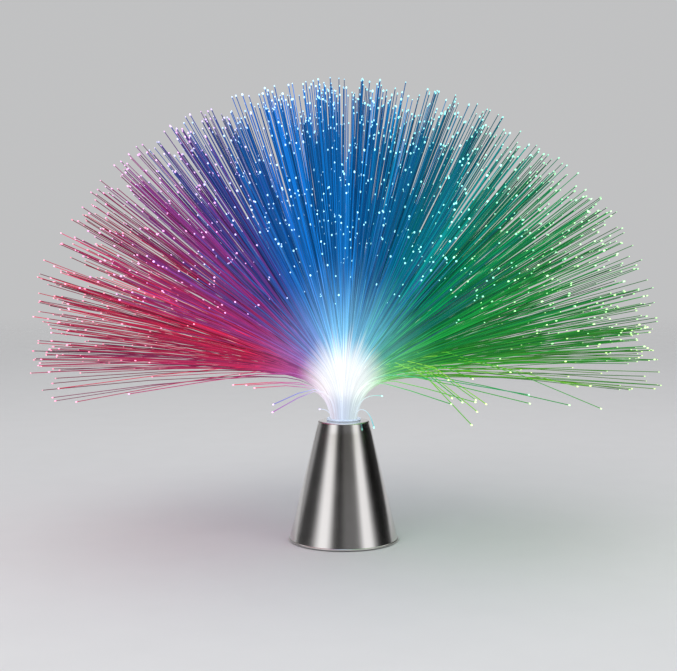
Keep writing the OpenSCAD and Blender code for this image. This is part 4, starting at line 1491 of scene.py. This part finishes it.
@dataclass
class Studio:
    """Camera, pale floor, soft lights and the wall that polished metal shows."""

    camera_at: Point = (-0.0039, -0.960, 0.225)
    camera_down: float = 4.2
    lens: float = 68.44
    floor_r: float = 6.0
    floor: Colour = (0.8, 0.8, 0.81)
    floor_fade: Pair = (0.9, 3.2)
    daylight: Colour = (0.985, 0.99, 1.0)
    backdrop: float = 0.54
    ambient: float = 0.56
    under_r: float = 37 * MM
    target: Point = (0.0, 0.0, 0.1)
    # Name, azimuth, elevation, distance, width and power of each softbox
    lights: tuple[tuple[str, float, float, float, float, float], ...] = (
        ("key", -35, 42, 1.6, 0.9, 5.0), ("fill", 55, 30, 1.6, 0.9, 3.0),
        ("overhead", 20, 82, 1.7, 1.4, 6.0),
    )
    wall_r: float = 4.0
    wall_low: float = -0.1
    wall_high: float = 7.9
    # Brightness that polished metal sees, by azimuth in degrees to the right of the camera's
    glints: tuple[Pair, ...] = (
        (-180, 0.6), (-168, 0.5), (-158, 0.24), (-132, 0.32), (-122, 0.26), (-109, 0.05), (-88, 0.04),
        (-77, 0.08), (-69, 0.26), (-60, 0.7), (-53, 1.0), (-38, 1.0), (-30, 0.55), (-23, 0.12),
        (-14, 0.05), (-8, 0.045), (0, 0.12), (6, 0.155), (20, 0.15), (31, 0.18), (38, 0.42), (46, 0.98),
        (62, 0.92), (71, 0.32), (80, 0.045), (90, 0.008), (102, 0.003), (113, 0.012), (126, 0.02),
        (158, 0.08), (168, 0.45), (180, 0.6),
    )
    glint_strength: float = 1.2
    glint_fade: Pair = (1.05, 1.6)
    high_dimming: float = 0.55
    crown: Pair = (2.4, 3.4)
    cool: Colour = (0.97, 0.975, 1.0)
    warm: Colour = (1.0, 0.965, 0.91)

    def camera(self) -> None:
        """Adds the camera at the photograph's viewing angle."""
        data = bpy.data.cameras.new("camera")
        data.lens = self.lens
        data.sensor_width = 36.0
        camera = linked("camera", data)
        camera.location = self.camera_at
        camera.rotation_euler = (math.radians(90 - self.camera_down), 0, 0)
        bpy.context.scene.camera = camera

    def world(self) -> None:
        """Adds soft light from all round and the pale background that the camera sees."""
        world = bpy.data.worlds.new("studio")
        bpy.context.scene.world = world
        world.use_nodes = True
        world.cycles.sampling_method = "NONE"
        graph = Graph(world.node_tree)
        seen = graph.output_of("ShaderNodeLightPath", "Is Camera Ray")
        for ray in ("Is Glossy Ray", "Is Transmission Ray"):
            seen = seen.math("MAXIMUM", graph.output_of("ShaderNodeLightPath", ray))
        strength = seen * (self.backdrop - self.ambient) + self.ambient
        lit = graph.node("ShaderNodeBackground", {}, {"Color": self.daylight, "Strength": strength})
        graph.node("ShaderNodeOutputWorld", {}, {"Surface": lit.outputs[0]})

    def ground(self) -> None:
        """Adds the pale floor. It thins out into the backdrop, and is open under the lamp."""
        deselect()
        bpy.ops.mesh.primitive_circle_add(vertices=128, radius=self.floor_r, fill_type="NGON")
        floor = fresh("floor")
        recipe = Recipe("pale_floor")
        x, y, _ = recipe.axes()
        distance = (x * x + y * y) ** 0.5
        recipe.set(
            Base_Color=recipe.scaled(self.floor, 0.98 + recipe.noise(40 * MM, 4.0) * 0.04),
            Roughness=0.85,
            Specular_IOR_Level=0.2,
        )
        behind = recipe.output_of("ShaderNodeNewGeometry", "Backfacing")
        thin = distance.between(*self.floor_fade).math("MAXIMUM", behind)
        thin = thin.math("MAXIMUM", 1.0 - distance.above(self.under_r))
        clear = recipe.node("ShaderNodeBsdfTransparent").outputs[0]
        shares = {0: thin, 1: recipe.shader.outputs[0], 2: clear}
        mixed = recipe.node("ShaderNodeMixShader", {}, shares)
        recipe.feed(recipe.output.inputs["Surface"], mixed.outputs[0])
        floor.data.materials.append(recipe.material)

    def surround_wall(self) -> None:
        """Adds the dark studio wall with its lit panels, which only shows in polished metal."""
        wall = cylinder("surround", self.wall_r, self.wall_low, self.wall_high, "NOTHING")
        recipe = Recipe("studio_wall")
        x, y, z = recipe.axes()
        turn = x.math("ARCTAN2", -y) / (2 * math.pi) + 0.5
        seen = recipe.grey_ramp(turn, [(azimuth / 360 + 0.5, level) for azimuth, level in self.glints])
        high = z.between(*self.glint_fade)
        lit = recipe.mix(1.0, recipe.mix(high, self.cool, self.warm), seen, "MULTIPLY")
        lit = recipe.scaled(lit, 1.0 - high * self.high_dimming)
        lit = recipe.mix(z.between(*self.crown), lit, self.cool)
        recipe.set(Base_Color=(0.0, 0.0, 0.0), Specular_IOR_Level=0.0)
        recipe.glow(lit, self.glint_strength)
        wall.data.materials.append(recipe.material)
        for ray in ("camera", "diffuse", "transmission", "shadow"):
            setattr(wall, f"visible_{ray}", False)

    def softbox(
        self, name: str, azimuth: float, elevation: float, distance: float, width: float, power: float
    ) -> None:
        """Adds a square soft light that faces the lamp.

        Args:
            name: Its name.
            azimuth: Its direction from the lamp, in degrees to the right of the camera's.
            elevation: Its height above the horizon in degrees.
            distance: Its distance in metres.
            width: Its width and height.
            power: Its power in watts.
        """
        data = bpy.data.lights.new(name, "AREA")
        data.shape = "RECTANGLE"
        data.size = data.size_y = width
        data.energy = power
        light = linked(name, data)
        a, e = math.radians(azimuth), math.radians(elevation)
        out = Vector((math.sin(a) * math.cos(e), -math.cos(a) * math.cos(e), math.sin(e)))
        light.location = Vector(self.target) + out * distance
        light.rotation_euler = out.to_track_quat("Z", "Y").to_euler()
        light.visible_glossy = False

    def build(self) -> None:
        """Sets up the studio."""
        self.camera()
        self.world()
        self.ground()
        self.surround_wall()
        for light in self.lights:
            self.softbox(*light)
        bpy.context.scene.view_settings.view_transform = "Standard"


def main() -> None:
    """Builds the studio and every sub-assembly in order."""
    logging.basicConfig(level=logging.INFO, format="%(name)s %(message)s")
    Studio().build()
    for assembly in (Cone(), Neck(), FibreSpray(), LightSource(), BatteryBay(), Underside()):
        LOG.info("%s", type(assembly).__name__)
        assembly.build()


if __name__ == "__main__":
    main()
